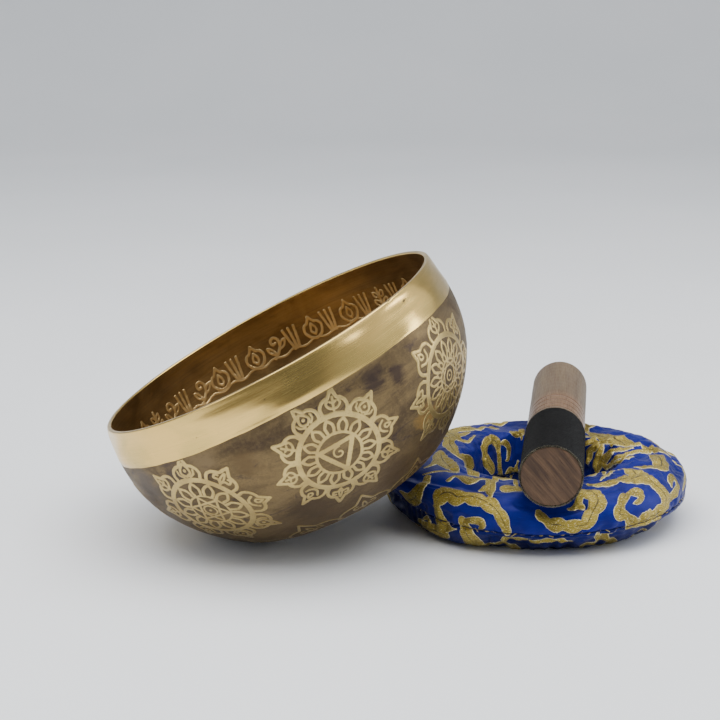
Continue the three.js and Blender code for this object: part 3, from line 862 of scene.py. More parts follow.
# ------------------------------------------------------------------ ring cushion
RING = np.array([72.806, 20.468])
PRESSED = np.array([[78.5, 13], [77.5, 19.5], [74.5, 25.5], [69.5, 29.8], [62.5, 32.4], [55, 33.2], [47.8, 32.2], [42.6, 28.8], [39.6, 23.8], [38.2, 18],
                    [38.4, 11.2], [40.6, 5.2], [44.8, 1.2], [50, 0], [57, 0], [67, 0], [72.5, 0.6], [76.3, 3.2], [78.3, 7.6]])
FREE = np.array([[78, 16.5], [77, 22.3], [74, 27.8], [69, 32], [62.5, 34.8], [55, 35.6], [47.8, 34.4], [42.6, 30.6], [39.6, 25], [38.2, 18.6],
                 [38.4, 11.6], [40.6, 5.4], [44.8, 1.2], [50, 0], [54, 0], [58, 0], [64.5, 2.0], [70.6, 6.0], [75.4, 11]])
STRIKER = np.array([70.249, -71.587, 47.851])
YAW = 0.124
LOOP = 124.0  # length round the section


def centripetal(P, per=16):
    n, out = len(P), []
    for i in range(n):
        p0, p1, p2, p3 = P[i - 1], P[i], P[(i + 1) % n], P[(i + 2) % n]
        d0, d1, d2 = (np.linalg.norm(b - a) ** 0.5 for a, b in ((p0, p1), (p1, p2), (p2, p3)))
        t1 = ((p1 - p0) / d0 - (p2 - p0) / (d0 + d1) + (p2 - p1) / d1) * d1
        t2 = ((p2 - p1) / d1 - (p3 - p1) / (d1 + d2) + (p3 - p2) / d2) * d1
        t = (np.arange(per) / per)[:, None]
        out.append(p1 * (2 * t ** 3 - 3 * t ** 2 + 1) + t1 * (t ** 3 - 2 * t ** 2 + t) + p2 * (-2 * t ** 3 + 3 * t ** 2) + t2 * (t ** 3 - t ** 2))
    return np.concatenate(out)


def turn_from(theta, deg):
    d = theta - math.radians(deg)
    return np.arctan2(np.sin(d), np.cos(d))


def ring_grid(nt, ns, inset=0.0):
    """The ring's surface at nt angles and ns shares of the way round its section, drawn in by inset."""
    th = np.arange(nt) / nt * 2 * math.pi
    R, Z = np.zeros((nt, ns)), np.zeros((nt, ns))
    for i, a in enumerate(th):
        free = 0.5 - 0.5 * math.cos(turn_from(a, 215))
        low = min(1.0, free + 0.5 * math.exp(-(turn_from(a, 268) / math.radians(42)) ** 2))
        share_free = np.where(np.arange(len(PRESSED)) >= 14, low, free)[:, None]
        D = centripetal(PRESSED + (FREE - PRESSED) * share_free)
        D = np.vstack([D, D[:1]])
        s = np.r_[0, np.cumsum(np.linalg.norm(np.diff(D, axis=0), axis=1))]
        q = np.arange(ns) / ns
        R[i], Z[i] = np.interp(q, s / s[-1], D[:, 0]), np.interp(q, s / s[-1], D[:, 1])
    if inset:
        tr, tz = np.roll(R, -1, 1) - np.roll(R, 1, 1), np.roll(Z, -1, 1) - np.roll(Z, 1, 1)
        L = np.hypot(tr, tz)
        R, Z = R - tz / L * inset, np.maximum(Z + tr / L * inset, inset)
    T = th[:, None] * np.ones(ns)
    lobe = lambda d, w: np.exp(-(turn_from(T, d) / math.radians(w)) ** 2)
    rad = R + smooth((R - 52) / 20) * (8.7 * lobe(188, 36) * smooth((Z - 8) / 19) + 4.5 * lobe(168, 24))
    # the soft ring has slumped a little smaller than its cover towards the right and under the bowl
    rad = rad - smooth((R - 52) / 20) * (0.5 * lobe(350, 40) + 3.2 * lobe(346, 30) * smooth((18 - Z) / 10) + 6.2 * lobe(199, 27) * smooth((29 - Z) / 13))
    x, y = RING[0] + rad * np.cos(T), RING[1] + rad * np.sin(T)
    aside = (x - STRIKER[0]) * math.cos(YAW) - (y - STRIKER[1]) * math.sin(YAW)
    deep = 1.95 + 1.05 * smooth((y - RING[1] + 30) / 60)
    back = 2.4 * lobe(72, 50) * smooth((Z - 8) / 20) * (1 - np.exp(-(aside / 17) ** 2))
    return np.stack([x, y, Z - back - deep * np.exp(-(aside / 13) ** 2) * smooth((Z - 4) / 29)], -1)


def sample(G, a, b):
    """A point of a closed grid, at a turn a (0 to 1) and a share b."""
    nt, ns = G.shape[:2]
    x, y = np.asarray(a) * nt, np.asarray(b) * ns
    i, j = np.floor(x).astype(int), np.floor(y).astype(int)
    fx, fy = x - i, y - j
    w = lambda t: [((-t + 2) * t - 1) * t / 2, ((3 * t - 5) * t * t + 2) / 2, ((-3 * t + 4) * t + 1) * t / 2, (t - 1) * t * t / 2]
    wx, wy = w(fx), w(fy)
    out = 0
    for p in range(4):
        for q in range(4):
            out = out + (wx[p] * wy[q])[..., None] * G[(i + p - 1) % nt, (j + q - 1) % ns]
    return out


def grid_normals(G):
    a = np.roll(G, -1, 0) - np.roll(G, 1, 0)
    b = np.roll(G, -1, 1) - np.roll(G, 1, 1)
    n = np.cross(a, b)
    n /= np.maximum(np.linalg.norm(n, axis=-1), 1e-9)[..., None]
    return n if n[0, 0, 0] > 0 else -n


NT, NS = 240, 96
S0 = ring_grid(NT, NS)
N0 = grid_normals(S0)
TH = (np.arange(NT) / NT * 2 * math.pi)[:, None] * np.ones(NS)
SH = np.ones(NT)[:, None] * (np.arange(NS) / NS)
EDGE, HOLE = 0.0, 0.575  # shares of the two seams


def share_gap(s, at):
    return np.abs((s - at + 0.5) % 1 - 0.5)


def gathers(theta, share):
    """Radial folds drawn into the seam in the hole, and the small puckers along the outer seam."""
    g = np.random.default_rng(23)
    at, total = 0.0, np.zeros_like(theta)
    while at < 2 * math.pi - 0.1:
        width = g.uniform(0.19, 0.33)
        deep = g.uniform(0.35, 1.0)
        lean = g.uniform(-0.14, 0.14)
        run = g.uniform(0.27, 0.37)
        d = turn_from(theta + lean * smooth((HOLE - share) / 0.3), math.degrees(at + width / 2))
        q = np.clip(1 - np.abs(d) / (width * 0.5), 0, 1)
        reach = smooth((share - run) / (0.53 - run)) * smooth((0.66 - share) / 0.07)
        total += deep * np.sin(q * math.pi / 2) ** 0.8 * reach
        at += width
    out = (total - 0.45) * 1.7 * smooth((share - 0.30) / 0.16) * smooth((0.66 - share) / 0.05)
    ripple = np.sin(theta * 61 + 2.2 * np.sin(theta * 7)) * 0.6 + np.sin(theta * 37 + 1.4) * 0.4
    near = np.exp(-(share_gap(share, EDGE) / 0.028) ** 2)
    out += near * (0.22 * ripple - 0.12)
    out -= 0.18 * np.exp(-(share_gap(share, EDGE) / 0.009) ** 2)
    out -= 1.2 * np.exp(-(share_gap(share, HOLE) / 0.014) ** 2)
    return out


def bowl_gap(P):
    """Distance of points outside the bowl's outer wall, and the way out of it."""
    B = np.stack([(P - BOWL_CENTRE) @ UB, (P - BOWL_CENTRE) @ WB, (P - BOWL_CENTRE) @ NB], -1)
    h, r = -B[..., 2], np.hypot(B[..., 0], B[..., 1])
    prof = PROFILE[::3]
    alo = _along[::3]
    q = np.stack([h, r], -1).reshape(-1, 2)
    k = np.array([np.argmin((prof[:, 0] - a) ** 2 + (prof[:, 1] - b) ** 2) for a, b in q])
    nrm = np.stack([-alo[k, 1], alo[k, 0]], 1)
    d = ((q - prof[k]) * nrm).sum(1)
    rr = np.maximum(r.reshape(-1), 1e-6)
    way = (-nrm[:, 0:1]) * NB + nrm[:, 1:2] * (B[..., 0].reshape(-1, 1) / rr[:, None] * UB + B[..., 1].reshape(-1, 1) / rr[:, None] * WB)
    return d, way


AXIS = np.array([math.sin(YAW), math.cos(YAW), 0.0])
SIDE = np.array([math.cos(YAW), -math.sin(YAW), 0.0])


def keep_clear(P, gap):
    """Moves cushion points out of the bowl, the striker and the ground."""
    flat = P.reshape(-1, 3).copy()
    close = np.nonzero(flat[:, 0] < 60)[0]
    for _ in range(2):
        d, way = bowl_gap(flat[close])
        need = np.maximum(gap - d, 0)
        flat[close] += way * need[:, None]
    rel = flat - STRIKER
    al = rel @ AXIS
    off = rel - al[:, None] * AXIS
    dist = np.linalg.norm(off, axis=1)
    lim = np.where(al < 72, 15.6, 15.1) + gap
    bad = (al > -1) & (al < 180) & (dist < lim)
    flat[bad] += off[bad] / dist[bad, None] * (lim[bad] - dist[bad])[:, None]
    flat[:, 2] = np.maximum(flat[:, 2], 0.05)
    return flat.reshape(P.shape)


def swollen(P):
    """The cover blown up by its filling: a pressure run of the Cloth solver on the same grid of points."""
    me = bpy.data.meshes.new("swell")
    me.from_pydata((P.reshape(-1, 3) * MM).tolist(), [], quads(NT, NS, True, True)[:, ::-1].tolist())
    ob = bpy.data.objects.new("swell", me)
    bpy.context.scene.collection.objects.link(ob)
    group = ob.vertex_groups.new(name="sewn")
    share = SH.ravel()
    tied = 1.0 * ((share_gap(share, EDGE) < 0.008) | (share_gap(share, HOLE) < 0.008))
    base = P.reshape(-1, 3)[:, 2] < 0.9
    tied = np.maximum(tied, base * 0.9)
    for w in (0.9, 1.0):
        idx = np.nonzero(tied == w)[0].tolist()
        if idx:
            group.add(idx, w, "REPLACE")
    mod = ob.modifiers.new("cloth", "CLOTH")
    c = mod.settings
    c.quality = 6
    c.mass = 0.25
    c.tension_stiffness = c.compression_stiffness = 12
    c.shear_stiffness = 6
    c.bending_stiffness = 0.35
    c.tension_damping = c.compression_damping = c.shear_damping = 12
    c.bending_damping = 1.2
    c.air_damping = 4
    c.use_pressure = True
    c.uniform_pressure_force = 4.0
    c.shrink_min = -0.035
    c.vertex_group_mass = "sewn"
    c.pin_stiffness = 2.0
    c.effector_weights.gravity = 0
    mod.collision_settings.use_collision = False
    mod.collision_settings.use_self_collision = False
    mod.point_cache.frame_start, mod.point_cache.frame_end = 1, 20
    for f in range(1, 21):
        bpy.context.scene.frame_set(f)
    ev = ob.evaluated_get(bpy.context.evaluated_depsgraph_get())
    co = np.zeros(NT * NS * 3)
    ev.data.vertices.foreach_get("co", co)
    bpy.context.scene.frame_set(1)
    bpy.data.objects.remove(ob)
    bpy.data.meshes.remove(me)
    return co.reshape(NT, NS, 3) / MM


import time
t_sim = time.time()
def lowpass(M, mm):
    """M with the waves shorter than about mm taken out (closed in both directions)."""
    f = np.fft.fft2(M)
    a = np.fft.fftfreq(NT, 2 * math.pi * 58 / NT)[:, None]
    b = np.fft.fftfreq(NS, LOOP / NS)[None, :]
    return np.real(np.fft.ifft2(f * np.exp(-((a * a + b * b) * (mm * 0.9) ** 2) * 2)))


start = S0 + N0 * (gathers(TH, SH) - 1.0)[..., None]
start[..., 2] = np.maximum(start[..., 2], 0.3)
move = swollen(start) - start
size = np.linalg.norm(move, axis=-1)
move = move * np.minimum(1, 6.0 / np.maximum(size, 1e-6))[..., None]
swell = (move * N0).sum(-1)
broad = lowpass(swell, 26.0)
# the swelling keeps its creases and hollows; its overall size is that of the measured section
keep = swell - broad + np.clip(broad - np.median(broad), -0.5, 0.5)
slide = move - N0 * swell[..., None]
slide = slide - np.stack([lowpass(slide[..., k], 34.0) for k in range(3)], -1)
slide *= np.minimum(1, 0.8 / np.maximum(np.linalg.norm(slide, axis=-1), 1e-6))[..., None]
S1 = S0 + N0 * (gathers(TH, SH) + 1.15 * keep)[..., None] + 0.5 * slide
print("swell: mean %.2f mm, broad %.2f..%.2f, kept %.2f..%.2f, %.0f s" % (swell.mean(), broad.min(), broad.max(), keep.min(), keep.max(), time.time() - t_sim))
out = ((S1 - S0) * N0).sum(-1)
S1 = S1 - N0 * np.maximum(out - 1.2, 0)[..., None] * 0.8
S1 = keep_clear(S1, 0.62)
N1 = grid_normals(S1)

FIGURES = [
    [(224.25,0.0167,3.55), (224.5,0.0583,2.8), (225.0,0.0944,3.16), (226.25,0.125,4.54), (229.25,0.1347,4.72), (233.0,0.1236,3.81), (237.25,0.1347,3.71), (241.75,0.1292,3.93), (246.5,0.1125,3.54), (250.0,0.0861,3.19), (252.25,0.0514,2.95), (253.75,0.0125,2.86)],  # arch
    [(224.25,0.0167,3.87), (225.25,0.9917,4.29), (227.5,0.9806,3.45), (230.5,0.9792,1.33), (233.25,0.9847,0.52)],  # arch foot
    [(208.75,0.9486,1.34), (215.25,0.9431,2.69), (220.75,0.9431,3.26), (225.0,0.9431,3.45), (227.75,0.9431,2.11)],  # arch low
    [(213.0,0.9681,0.79), (216.0,0.9833,1.45), (217.75,0.9736,1.63)],  # arch hook
    [(235.75,0.0236,2.7), (237.0,0.0028,3.37), (238.0,0.975,4.42), (239.25,0.9431,5.13), (239.0,0.8708,5.76)],  # arch stem
    [(237.0,0.025,1.82), (239.25,0.0347,1.76), (241.75,0.0389,2.25), (243.75,0.0333,2.69), (244.25,0.0181,1.73), (243.0,0.0056,0.8)],  # arch curl
    [(220.25,0.2222,1.54), (219.75,0.2417,1.15), (220.25,0.2556,1.15), (223.25,0.2583,1.92), (226.5,0.2583,3.07), (230.0,0.2514,3.45), (231.25,0.2653,2.11), (233.0,0.2875,1.54), (236.5,0.2986,1.73), (240.0,0.3097,1.73), (114.0,0.5833,1.15), (106.75,0.5903,0.84), (251.25,0.3444,1.34), (253.5,0.2986,1.15)],  # leaf bar
    [(238.75,0.2875,2.74), (242.25,0.2306,2.8), (243.5,0.1958,2.44), (245.0,0.1667,1.45), (245.5,0.1458,1.27)],  # leaf stem
    [(237.75,0.2042,0.6), (239.0,0.2125,1.54), (240.25,0.225,2.88)],  # leaf barb
    [(249.5,0.2431,3.26), (251.5,0.2472,3.65), (253.75,0.2569,3.45)],  # pill
    [(150.25,0.2986,3.03), (158.5,0.3278,4.39), (166.5,0.3556,3.45), (174.25,0.3847,2.49), (171.75,0.4222,3.84), (161.0,0.4639,4.8), (223.75,0.3264,3.26)],  # band in
    [(149.0,0.2917,3.84), (141.5,0.2917,2.3), (135.25,0.2917,2.11), (129.25,0.2833,1.15)],  # band rim
    [(173.25,0.3097,1.7), (187.0,0.3097,5.37), (197.25,0.3083,5.76), (207.25,0.3028,4.03), (214.75,0.2944,1.54)],  # pale
    [(200.5,0.2306,0.77), (199.0,0.2542,1.44), (192.75,0.2875,3.07), (189.0,0.3111,4.8)],  # pale tail
    [(206.0,0.2069,0.86), (207.5,0.2306,1.06), (209.0,0.2514,1.06), (213.0,0.2708,1.06), (216.5,0.2819,0.77)],  # strip
    [(209.25,0.2056,2.16), (213.75,0.1639,2.62), (215.25,0.1222,3.47), (213.5,0.0806,3.9), (209.25,0.0528,4.62), (205.25,0.0472,5.76)],  # shade
    [(134.0,0.4694,2.38), (133.25,0.4319,2.42), (129.75,0.4069,2.2), (124.25,0.3917,2.88), (120.0,0.3958,3.35), (118.25,0.4208,2.0), (118.5,0.4542,1.37), (119.0,0.4931,1.35), (119.0,0.5333,1.5), (117.5,0.5667,1.44)],  # mush l
    [(133.25,0.4653,2.29), (132.25,0.4944,3.02), (129.0,0.5181,2.92), (127.25,0.5403,1.76)],  # mush base
    [(115.5,0.4181,0.84), (111.5,0.4167,2.06), (109.25,0.4403,1.78), (109.75,0.4681,1.56), (111.5,0.4931,1.11), (113.75,0.4986,0.6)],  # mush r
    [(112.75,0.5708,1.05), (109.5,0.55,2.33), (105.25,0.5653,2.64), (103.0,0.5333,1.1), (101.75,0.5069,0.71)],  # mush b
    [(103.5,0.3389,0.98), (104.0,0.3653,1.8), (101.25,0.375,2.53), (97.5,0.3722,2.01), (96.25,0.3417,2.0), (95.5,0.3028,1.28)],  # hook
    [(97.5,0.3722,1.36), (98.0,0.4042,0.73)],  # hook tail
    [(251.5,0.9333,1.35), (253.25,0.9486,1.83), (255.75,0.9556,1.92), (257.5,0.9431,1.93), (259.75,0.9417,1.74)],  # under a
    [(262.25,0.9292,0.96), (265.75,0.9444,1.47), (269.5,0.9556,1.69), (273.5,0.9444,1.73), (278.5,0.9181,0.96)],  # under b
    [(265.0,0.1194,1.24), (265.75,0.0931,1.85), (267.5,0.0736,1.92), (269.5,0.0542,2.09), (272.25,0.05,2.39), (275.5,0.0389,2.22), (279.25,0.0347,2.18), (282.25,0.0403,2.44), (284.0,0.0653,2.43), (286.0,0.0944,2.76), (288.25,0.1222,2.87), (289.25,0.1528,3.33), (287.5,0.1806,3.51), (284.75,0.1806,2.39), (282.5,0.1681,1.72)],  # wave
    [(282.25,0.1653,1.56), (280.5,0.1361,1.77), (278.25,0.1236,1.53), (276.75,0.1306,0.85)],  # wave curl
    [(280.5,0.1347,1.65), (281.75,0.1167,1.55), (282.75,0.1069,0.32)],  # wave curl2
    [(303.0,0.0875,0.5), (305.25,0.0889,1.42), (307.75,0.1,1.95), (308.5,0.125,2.96), (305.5,0.1361,2.16), (301.5,0.1292,2.16), (298.5,0.1069,2.37), (296.75,0.0819,2.96), (296.0,0.0583,3.11), (298.5,0.05,2.46), (300.25,0.025,2.96), (303.75,0.0069,2.55), (307.75,0.0097,3.63), (311.5,0.0167,3.41), (315.25,0.0167,3.73), (318.0,0.0347,2.68)],  # cee
    [(300.0,0.0292,2.72), (300.25,0.0056,2.33), (299.25,0.9944,1.38)],  # cee tail
    [(310.25,0.0375,1.55), (310.0,0.0181,2.27)],  # cee spur
    [(322.75,0.2208,2.69), (320.5,0.175,3.26), (319.75,0.1319,3.8), (320.5,0.0944,4.09), (321.0,0.0583,4.56), (319.25,0.0361,3.42)],  # leaf side
    [(320.75,0.0528,2.5), (324.75,0.0514,2.53), (329.25,0.0597,2.57), (333.75,0.0736,1.92)],  # leaf side2
    [(328.5,0.0917,0.96), (330.5,0.1111,1.9), (334.25,0.1194,2.11), (334.25,0.0958,1.44), (332.75,0.0764,1.34)],  # loop
    [(291.25,0.2819,1.15), (294.5,0.2528,3.26), (298.75,0.2389,4.32), (305.0,0.2458,4.13), (309.25,0.2278,4.61), (313.75,0.2125,6.05), (317.5,0.2,5.76)],  # cloud
    [(320.0,0.2264,4.8), (322.25,0.2583,4.8), (324.5,0.2972,3.07), (325.0,0.3333,1.92), (323.75,0.3653,1.44), (312.25,0.3306,0.86)],  # cloud hook
    [(331.5,0.2931,0.77), (332.0,0.2528,2.02), (333.25,0.2139,3.65), (335.25,0.1806,4.07), (343.0,0.2,4.8), (349.75,0.225,3.45), (354.0,0.2472,1.34)],  # leaf far
    [(33.5,0.3625,3.07), (30.5,0.3306,3.07), (26.0,0.2986,3.07), (19.5,0.2764,2.3), (12.25,0.2583,1.73), (4.0,0.2375,2.88), (359.25,0.2069,2.88), (356.25,0.1708,2.69), (356.25,0.1333,1.34), (354.5,0.0972,0.96), (351.0,0.0736,1.15)],  # rim a
    [(349.5,0.0694,1.15), (343.25,0.0583,1.25), (337.75,0.0458,0.96)],  # rim b
    [(50.5,0.3569,1.78), (46.75,0.3361,2.11), (44.5,0.3056,1.73), (43.0,0.2694,0.96)],  # back a
    [(47.25,0.3958,1.82), (43.25,0.3792,1.98), (38.0,0.3667,1.89), (32.75,0.3681,1.65)],  # back b
    [(40.25,0.4806,1.19), (40.75,0.4486,1.98), (40.25,0.4236,2.06), (36.25,0.3986,1.75)],  # fold 1
    [(28.25,0.5083,1.73), (31.0,0.4764,2.06), (30.5,0.4417,2.69), (30.0,0.4111,2.16), (30.0,0.3917,1.22)],  # fold 2
    [(23.25,0.5097,0.96), (23.75,0.4792,1.44), (22.0,0.4417,1.82), (17.5,0.4083,1.92), (11.5,0.3736,1.73), (7.75,0.3403,1.54), (5.75,0.3167,0.96)],  # fold 3
    [(306.75,0.3292,0.86), (16.5,0.4681,1.54), (14.5,0.4347,1.44), (10.5,0.4042,1.06)],  # fold 4
    [(7.25,0.4694,0.77), (3.75,0.4458,1.34), (358.0,0.4069,1.44), (356.25,0.3667,1.44), (358.0,0.3361,1.44), (0.25,0.2972,1.25), (0.5,0.2569,1.92)],  # fold 5
    [(0.0,0.4486,0.67), (345.25,0.3986,0.86), (343.0,0.3569,0.96), (348.25,0.3278,0.86)],  # fold 6
    [(300.5,0.2972,0.48), (306.75,0.3167,0.86), (312.0,0.3236,0.86)],  # fold 7
    [(22.25,0.3722,0.86), (16.5,0.3431,0.86), (12.0,0.3069,0.77), (10.5,0.2639,0.67)],  # fold 8
    [(287.0,0.9889,1.39), (288.0,0.9569,1.82), (290.75,0.9083,2.09)],  # under c
    [(293.25,0.8986,2.88), (291.75,0.9472,2.46), (292.5,0.9694,2.1), (294.75,0.975,0.67)],  # under c2
    [(308.25,0.8569,0.86), (310.75,0.8653,1.25), (314.0,0.8667,0.96)],  # under d
    [(316.25,0.8722,1.54), (318.5,0.8792,1.54)],  # under e
    [(321.0,0.9347,0.86), (321.0,0.9528,1.63), (325.25,0.9417,1.15)],  # under f
]
# the far side, which the front doesn't show, repeats the same figures turned round the ring
REPEATS = [(k, 178) for k in (0, 1, 2, 3, 4, 5, 7, 8, 22, 23, 24, 25, 26, 27, 28, 29, 30, 31, 32, 33, 34, 48, 49, 50, 51, 52)]
REPEATS += [(k, -98) for k in (24, 25, 26, 22, 23)] + [(k, -216) for k in (0, 1, 4, 5)] + [(k, a) for a in (116, 180) for k in (16, 17, 18, 19)] + [(9, 172), (9, -84), (12, 200), (20, -60), (35, 150)]
FOLDS = range(40, 48)  # the figures that lie along the folds in the hole
LOBED = (0, 24, 27, 33, 36)
WIDER = {22: 1.2, 23: 1.3, 24: 1.4, 25: 1.25, 26: 1.25, 40: 1.3, 41: 1.3, 42: 1.35, 43: 1.35, 44: 1.35, 45: 1.35, 46: 1.4, 47: 1.4, 6: 1.1, 9: 1.1}


def ring_strokes():
    o = []
    jobs = [(k, 0) for k in range(len(FIGURES))] + REPEATS
    for k, a in jobs:
        F = np.array(FIGURES[k])
        P = sample(S0, ((F[:, 0] + a) % 360) / 360, F[:, 1] % 1)
        L = rounded(np.column_stack([P, F[:, 2] * WIDER.get(k, 1.0)]), 5)
        if k in LOBED:  # cloud-like edge
            run = np.r_[0, np.cumsum(np.linalg.norm(np.diff(L[:, :3], axis=0), axis=1))]
            L[:, 3] *= 1 + 0.17 * np.sin(run * 2 * math.pi / 9.5) * smooth(run / 5)
        o.append(L)
    # floor side: plain scrolls under the base
    for k in range(8):
        a0 = k / 8 + 0.02
        pts = [(0.000, 0.70, 1.4), (0.020, 0.74, 2.2), (0.045, 0.78, 2.4), (0.065, 0.84, 2.3), (0.050, 0.89, 2.2), (0.025, 0.87, 1.9), (0.022, 0.83, 1.2)]
        F = np.array(pts)
        P = sample(S0, (F[:, 0] + a0) % 1, F[:, 1])
        o.append(rounded(np.column_stack([P, F[:, 2]]), 5))
    return o


STROKES = ring_strokes()


def fold_heights():
    """Height of the sharp folds drawn together in the hole: a ridge along every fold figure, a hollow between."""
    T, S = np.meshgrid(np.arange(1440) / 1440, np.arange(496) / 496, indexing="ij")
    H = np.zeros(T.shape)
    near = (np.abs(turn_from(T * 2 * math.pi, 12)) < math.radians(62)) & (S > 0.20) & (S < 0.60)
    X = sample(S0, T[near], S[near])
    lines = []
    for k in FOLDS:
        F = np.array(FIGURES[k])
        lines.append(rounded(np.column_stack([sample(S0, (F[:, 0] % 360) / 360, F[:, 1] % 1), np.full(len(F), 0.01)]), 5))
    h = np.zeros(len(X))
    closest = np.full(len(X), 99.0)
    for L in lines:
        for a, b in zip(L[:-1], L[1:]):
            e = b[:3] - a[:3]
            q = np.clip(((X - a[:3]) @ e) / max(e @ e, 1e-9), 0, 1)
            closest = np.minimum(closest, np.linalg.norm(X - a[:3] - q[:, None] * e, axis=1))
    inside = smooth((9 - closest) / 6)
    h = 2.2 * np.exp(-(closest / 1.75) ** 2) - 1.3 * inside
    H[near] = h * smooth((math.radians(60) - np.abs(turn_from(T[near] * 2 * math.pi, 12))) / 0.2) * smooth((S[near] - 0.20) / 0.04) * smooth((0.60 - S[near]) / 0.03)
    return H


FOLD = fold_heights()[..., None]


def fine_cloth(turn, share, rise=0.0):
    """The finished cloth at a turn and a share, raised by rise."""
    P = sample(S1, turn, share)
    N = sample(N1, turn, share)
    N /= np.maximum(np.linalg.norm(N, axis=-1), 1e-9)[..., None]
    th = turn * 2 * math.pi
    w = 0.10 * np.sin(th * 23 + 5 * np.sin(share * 21)) * np.sin(share * 47 + 3 * np.sin(th * 3)) + 0.05 * np.sin(th * 57 + share * 90)
    return P + N * (np.asarray(rise) + w + sample(FOLD, turn, share)[..., 0])[..., None]


def spread_turns(n):
    """n turns round the ring, closer together where the folds are."""
    x = np.linspace(0, 1, 4001)
    dens = 1 + 1.9 * np.exp(-(turn_from(x * 2 * math.pi, 12) / math.radians(42)) ** 4)
    c = np.r_[0, np.cumsum((dens[1:] + dens[:-1]) / 2)]
    return np.interp(np.arange(n) / n, c / c[-1], x)


def cloth_coords(turn, share):
    return np.stack([turn * 2 * math.pi * 60, share * LOOP, 0 * turn], -1)


def cover(name, s0, s1, mat, nt, ns, thick=0.55):
    t = spread_turns(nt)
    s = np.linspace(s0, s1, ns)
    T, S = np.meshgrid(t, s, indexing="ij")
    outer = fine_cloth(T, S)
    # the hem turns in at both seams
    hem = np.minimum(np.abs(S - s0), np.abs(S - s1)) * LOOP
    inner = fine_cloth(T, S, -thick - 0.25 * np.exp(-hem / 0.8))
    V = np.concatenate([outer.reshape(-1, 3), inner.reshape(-1, 3)])
    V[:, 2] = np.maximum(V[:, 2], 0.02)
    n = nt * ns
    k = np.arange(nt)
    k2 = (k + 1) % nt
    F = [quads(nt, ns, True, False), quads(nt, ns, True, False, n)[:, ::-1],
         np.stack([k * ns, n + k * ns, n + k2 * ns, k2 * ns], 1),
         np.stack([k * ns + ns - 1, k2 * ns + ns - 1, n + k2 * ns + ns - 1, n + k * ns + ns - 1], 1)]
    C = cloth_coords(T, S).reshape(-1, 3)
    return make(name, V, F, [mat], "cushion", vector={"cloth": np.concatenate([C, C]), "where": V})


m_satin = satin_cloth("satin_blue", srgb(16, 24, 116), srgb(11, 15, 84))
# painted shade: the under cover uses a darker copy of the same blue satin
m_satin_under_painted_shade = satin_cloth("satin_blue_under_painted_shade", srgb(9, 16, 86), srgb(6, 10, 60))
m_gold = gold_cloth("brocade_gold", srgb(200, 178, 84), srgb(168, 145, 56), srgb(62, 52, 20))
top = cover("cushion_top", 0.0011, 0.5685, m_satin, 430, 106)
under = cover("cushion_under", 0.5815, 0.9989, m_satin_under_painted_shade, 400, 72)
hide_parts("cushion_top_cover")
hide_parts("cushion_bottom_cover")


def brocade(name, s0, s1, cols, rows):
    t = np.linspace(0, 1, cols)
    s = np.linspace(s0, s1, rows)
    T, S = np.meshgrid(t, s, indexing="ij")
    X = sample(S0, T % 1, S)
    d, core = stroke_distance(X.reshape(-1, 3), STROKES, 1.5)
    d, core = d.reshape(T.shape), core.reshape(T.shape)
    th = T * 2 * math.pi
    d = d + 0.07 * np.sin(th * 190) * np.sin(S * 330) + 0.06 * np.sin(th * 71 + S * 60)
    IJ, dd, tris = cut(d)
    i, j = IJ[:, 0], IJ[:, 1]
    tt, ss = i / (cols - 1), s0 + (s1 - s0) * j / (rows - 1)
    i0, j0 = np.clip(np.round(i).astype(int), 0, cols - 1), np.clip(np.round(j).astype(int), 0, rows - 1)
    cc = core[i0, j0]
    rise = np.where(-dd <= 1e-9, -0.12, -0.12 + 0.42 * smooth(-dd / 0.55))
    P = fine_cloth(tt % 1, ss, rise)
    P[:, 2] = np.maximum(P[:, 2], 0.0)
    ob = make(name, P, tris, [m_gold], "cushion", point={"rise": -dd, "core": cc},
              vector={"cloth": cloth_coords(tt, ss), "where": P}, solid=False)
    me = ob.data
    n = len(me.polygons)
    w = np.zeros(n * 3); me.polygons.foreach_get("normal", w)
    tri = np.asarray(tris)
    nn = sample(N1, (tt % 1)[tri[:, 0]], ss[tri[:, 0]])
    if (w.reshape(-1, 3) * nn).sum(1).mean() < 0:
        me.flip_normals()
    return ob


brocade("cushion_top_figures", 0.0018, 0.5665, 1000, 150)
brocade("cushion_under_figures", 0.5835, 0.9982, 800, 100)

# wadding inside the covers
fn, fm = 220, 70
T, S = np.meshgrid(np.arange(fn) / fn, np.arange(fm) / fm, indexing="ij")
lump = 0.35 * np.sin(T * 2 * math.pi * 19 + 3 * np.sin(S * 2 * math.pi * 3)) * np.sin(S * 2 * math.pi * 5 + 2 * np.sin(T * 2 * math.pi * 4)) + 0.2 * np.sin(T * 2 * math.pi * 47 + S * 2 * math.pi * 8)
W = fine_cloth(T, S, -1.75 + lump - 0.6 * np.exp(-(share_gap(S, HOLE) / 0.02) ** 2))
W[..., 2] = np.maximum(W[..., 2], 0.9)
fill = make("cushion_wadding", W.reshape(-1, 3), quads(fn, fm, True, True), [wadding_fluff()], "cushion",
            vector={"where": W.reshape(-1, 3)})
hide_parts("cushion_filling")


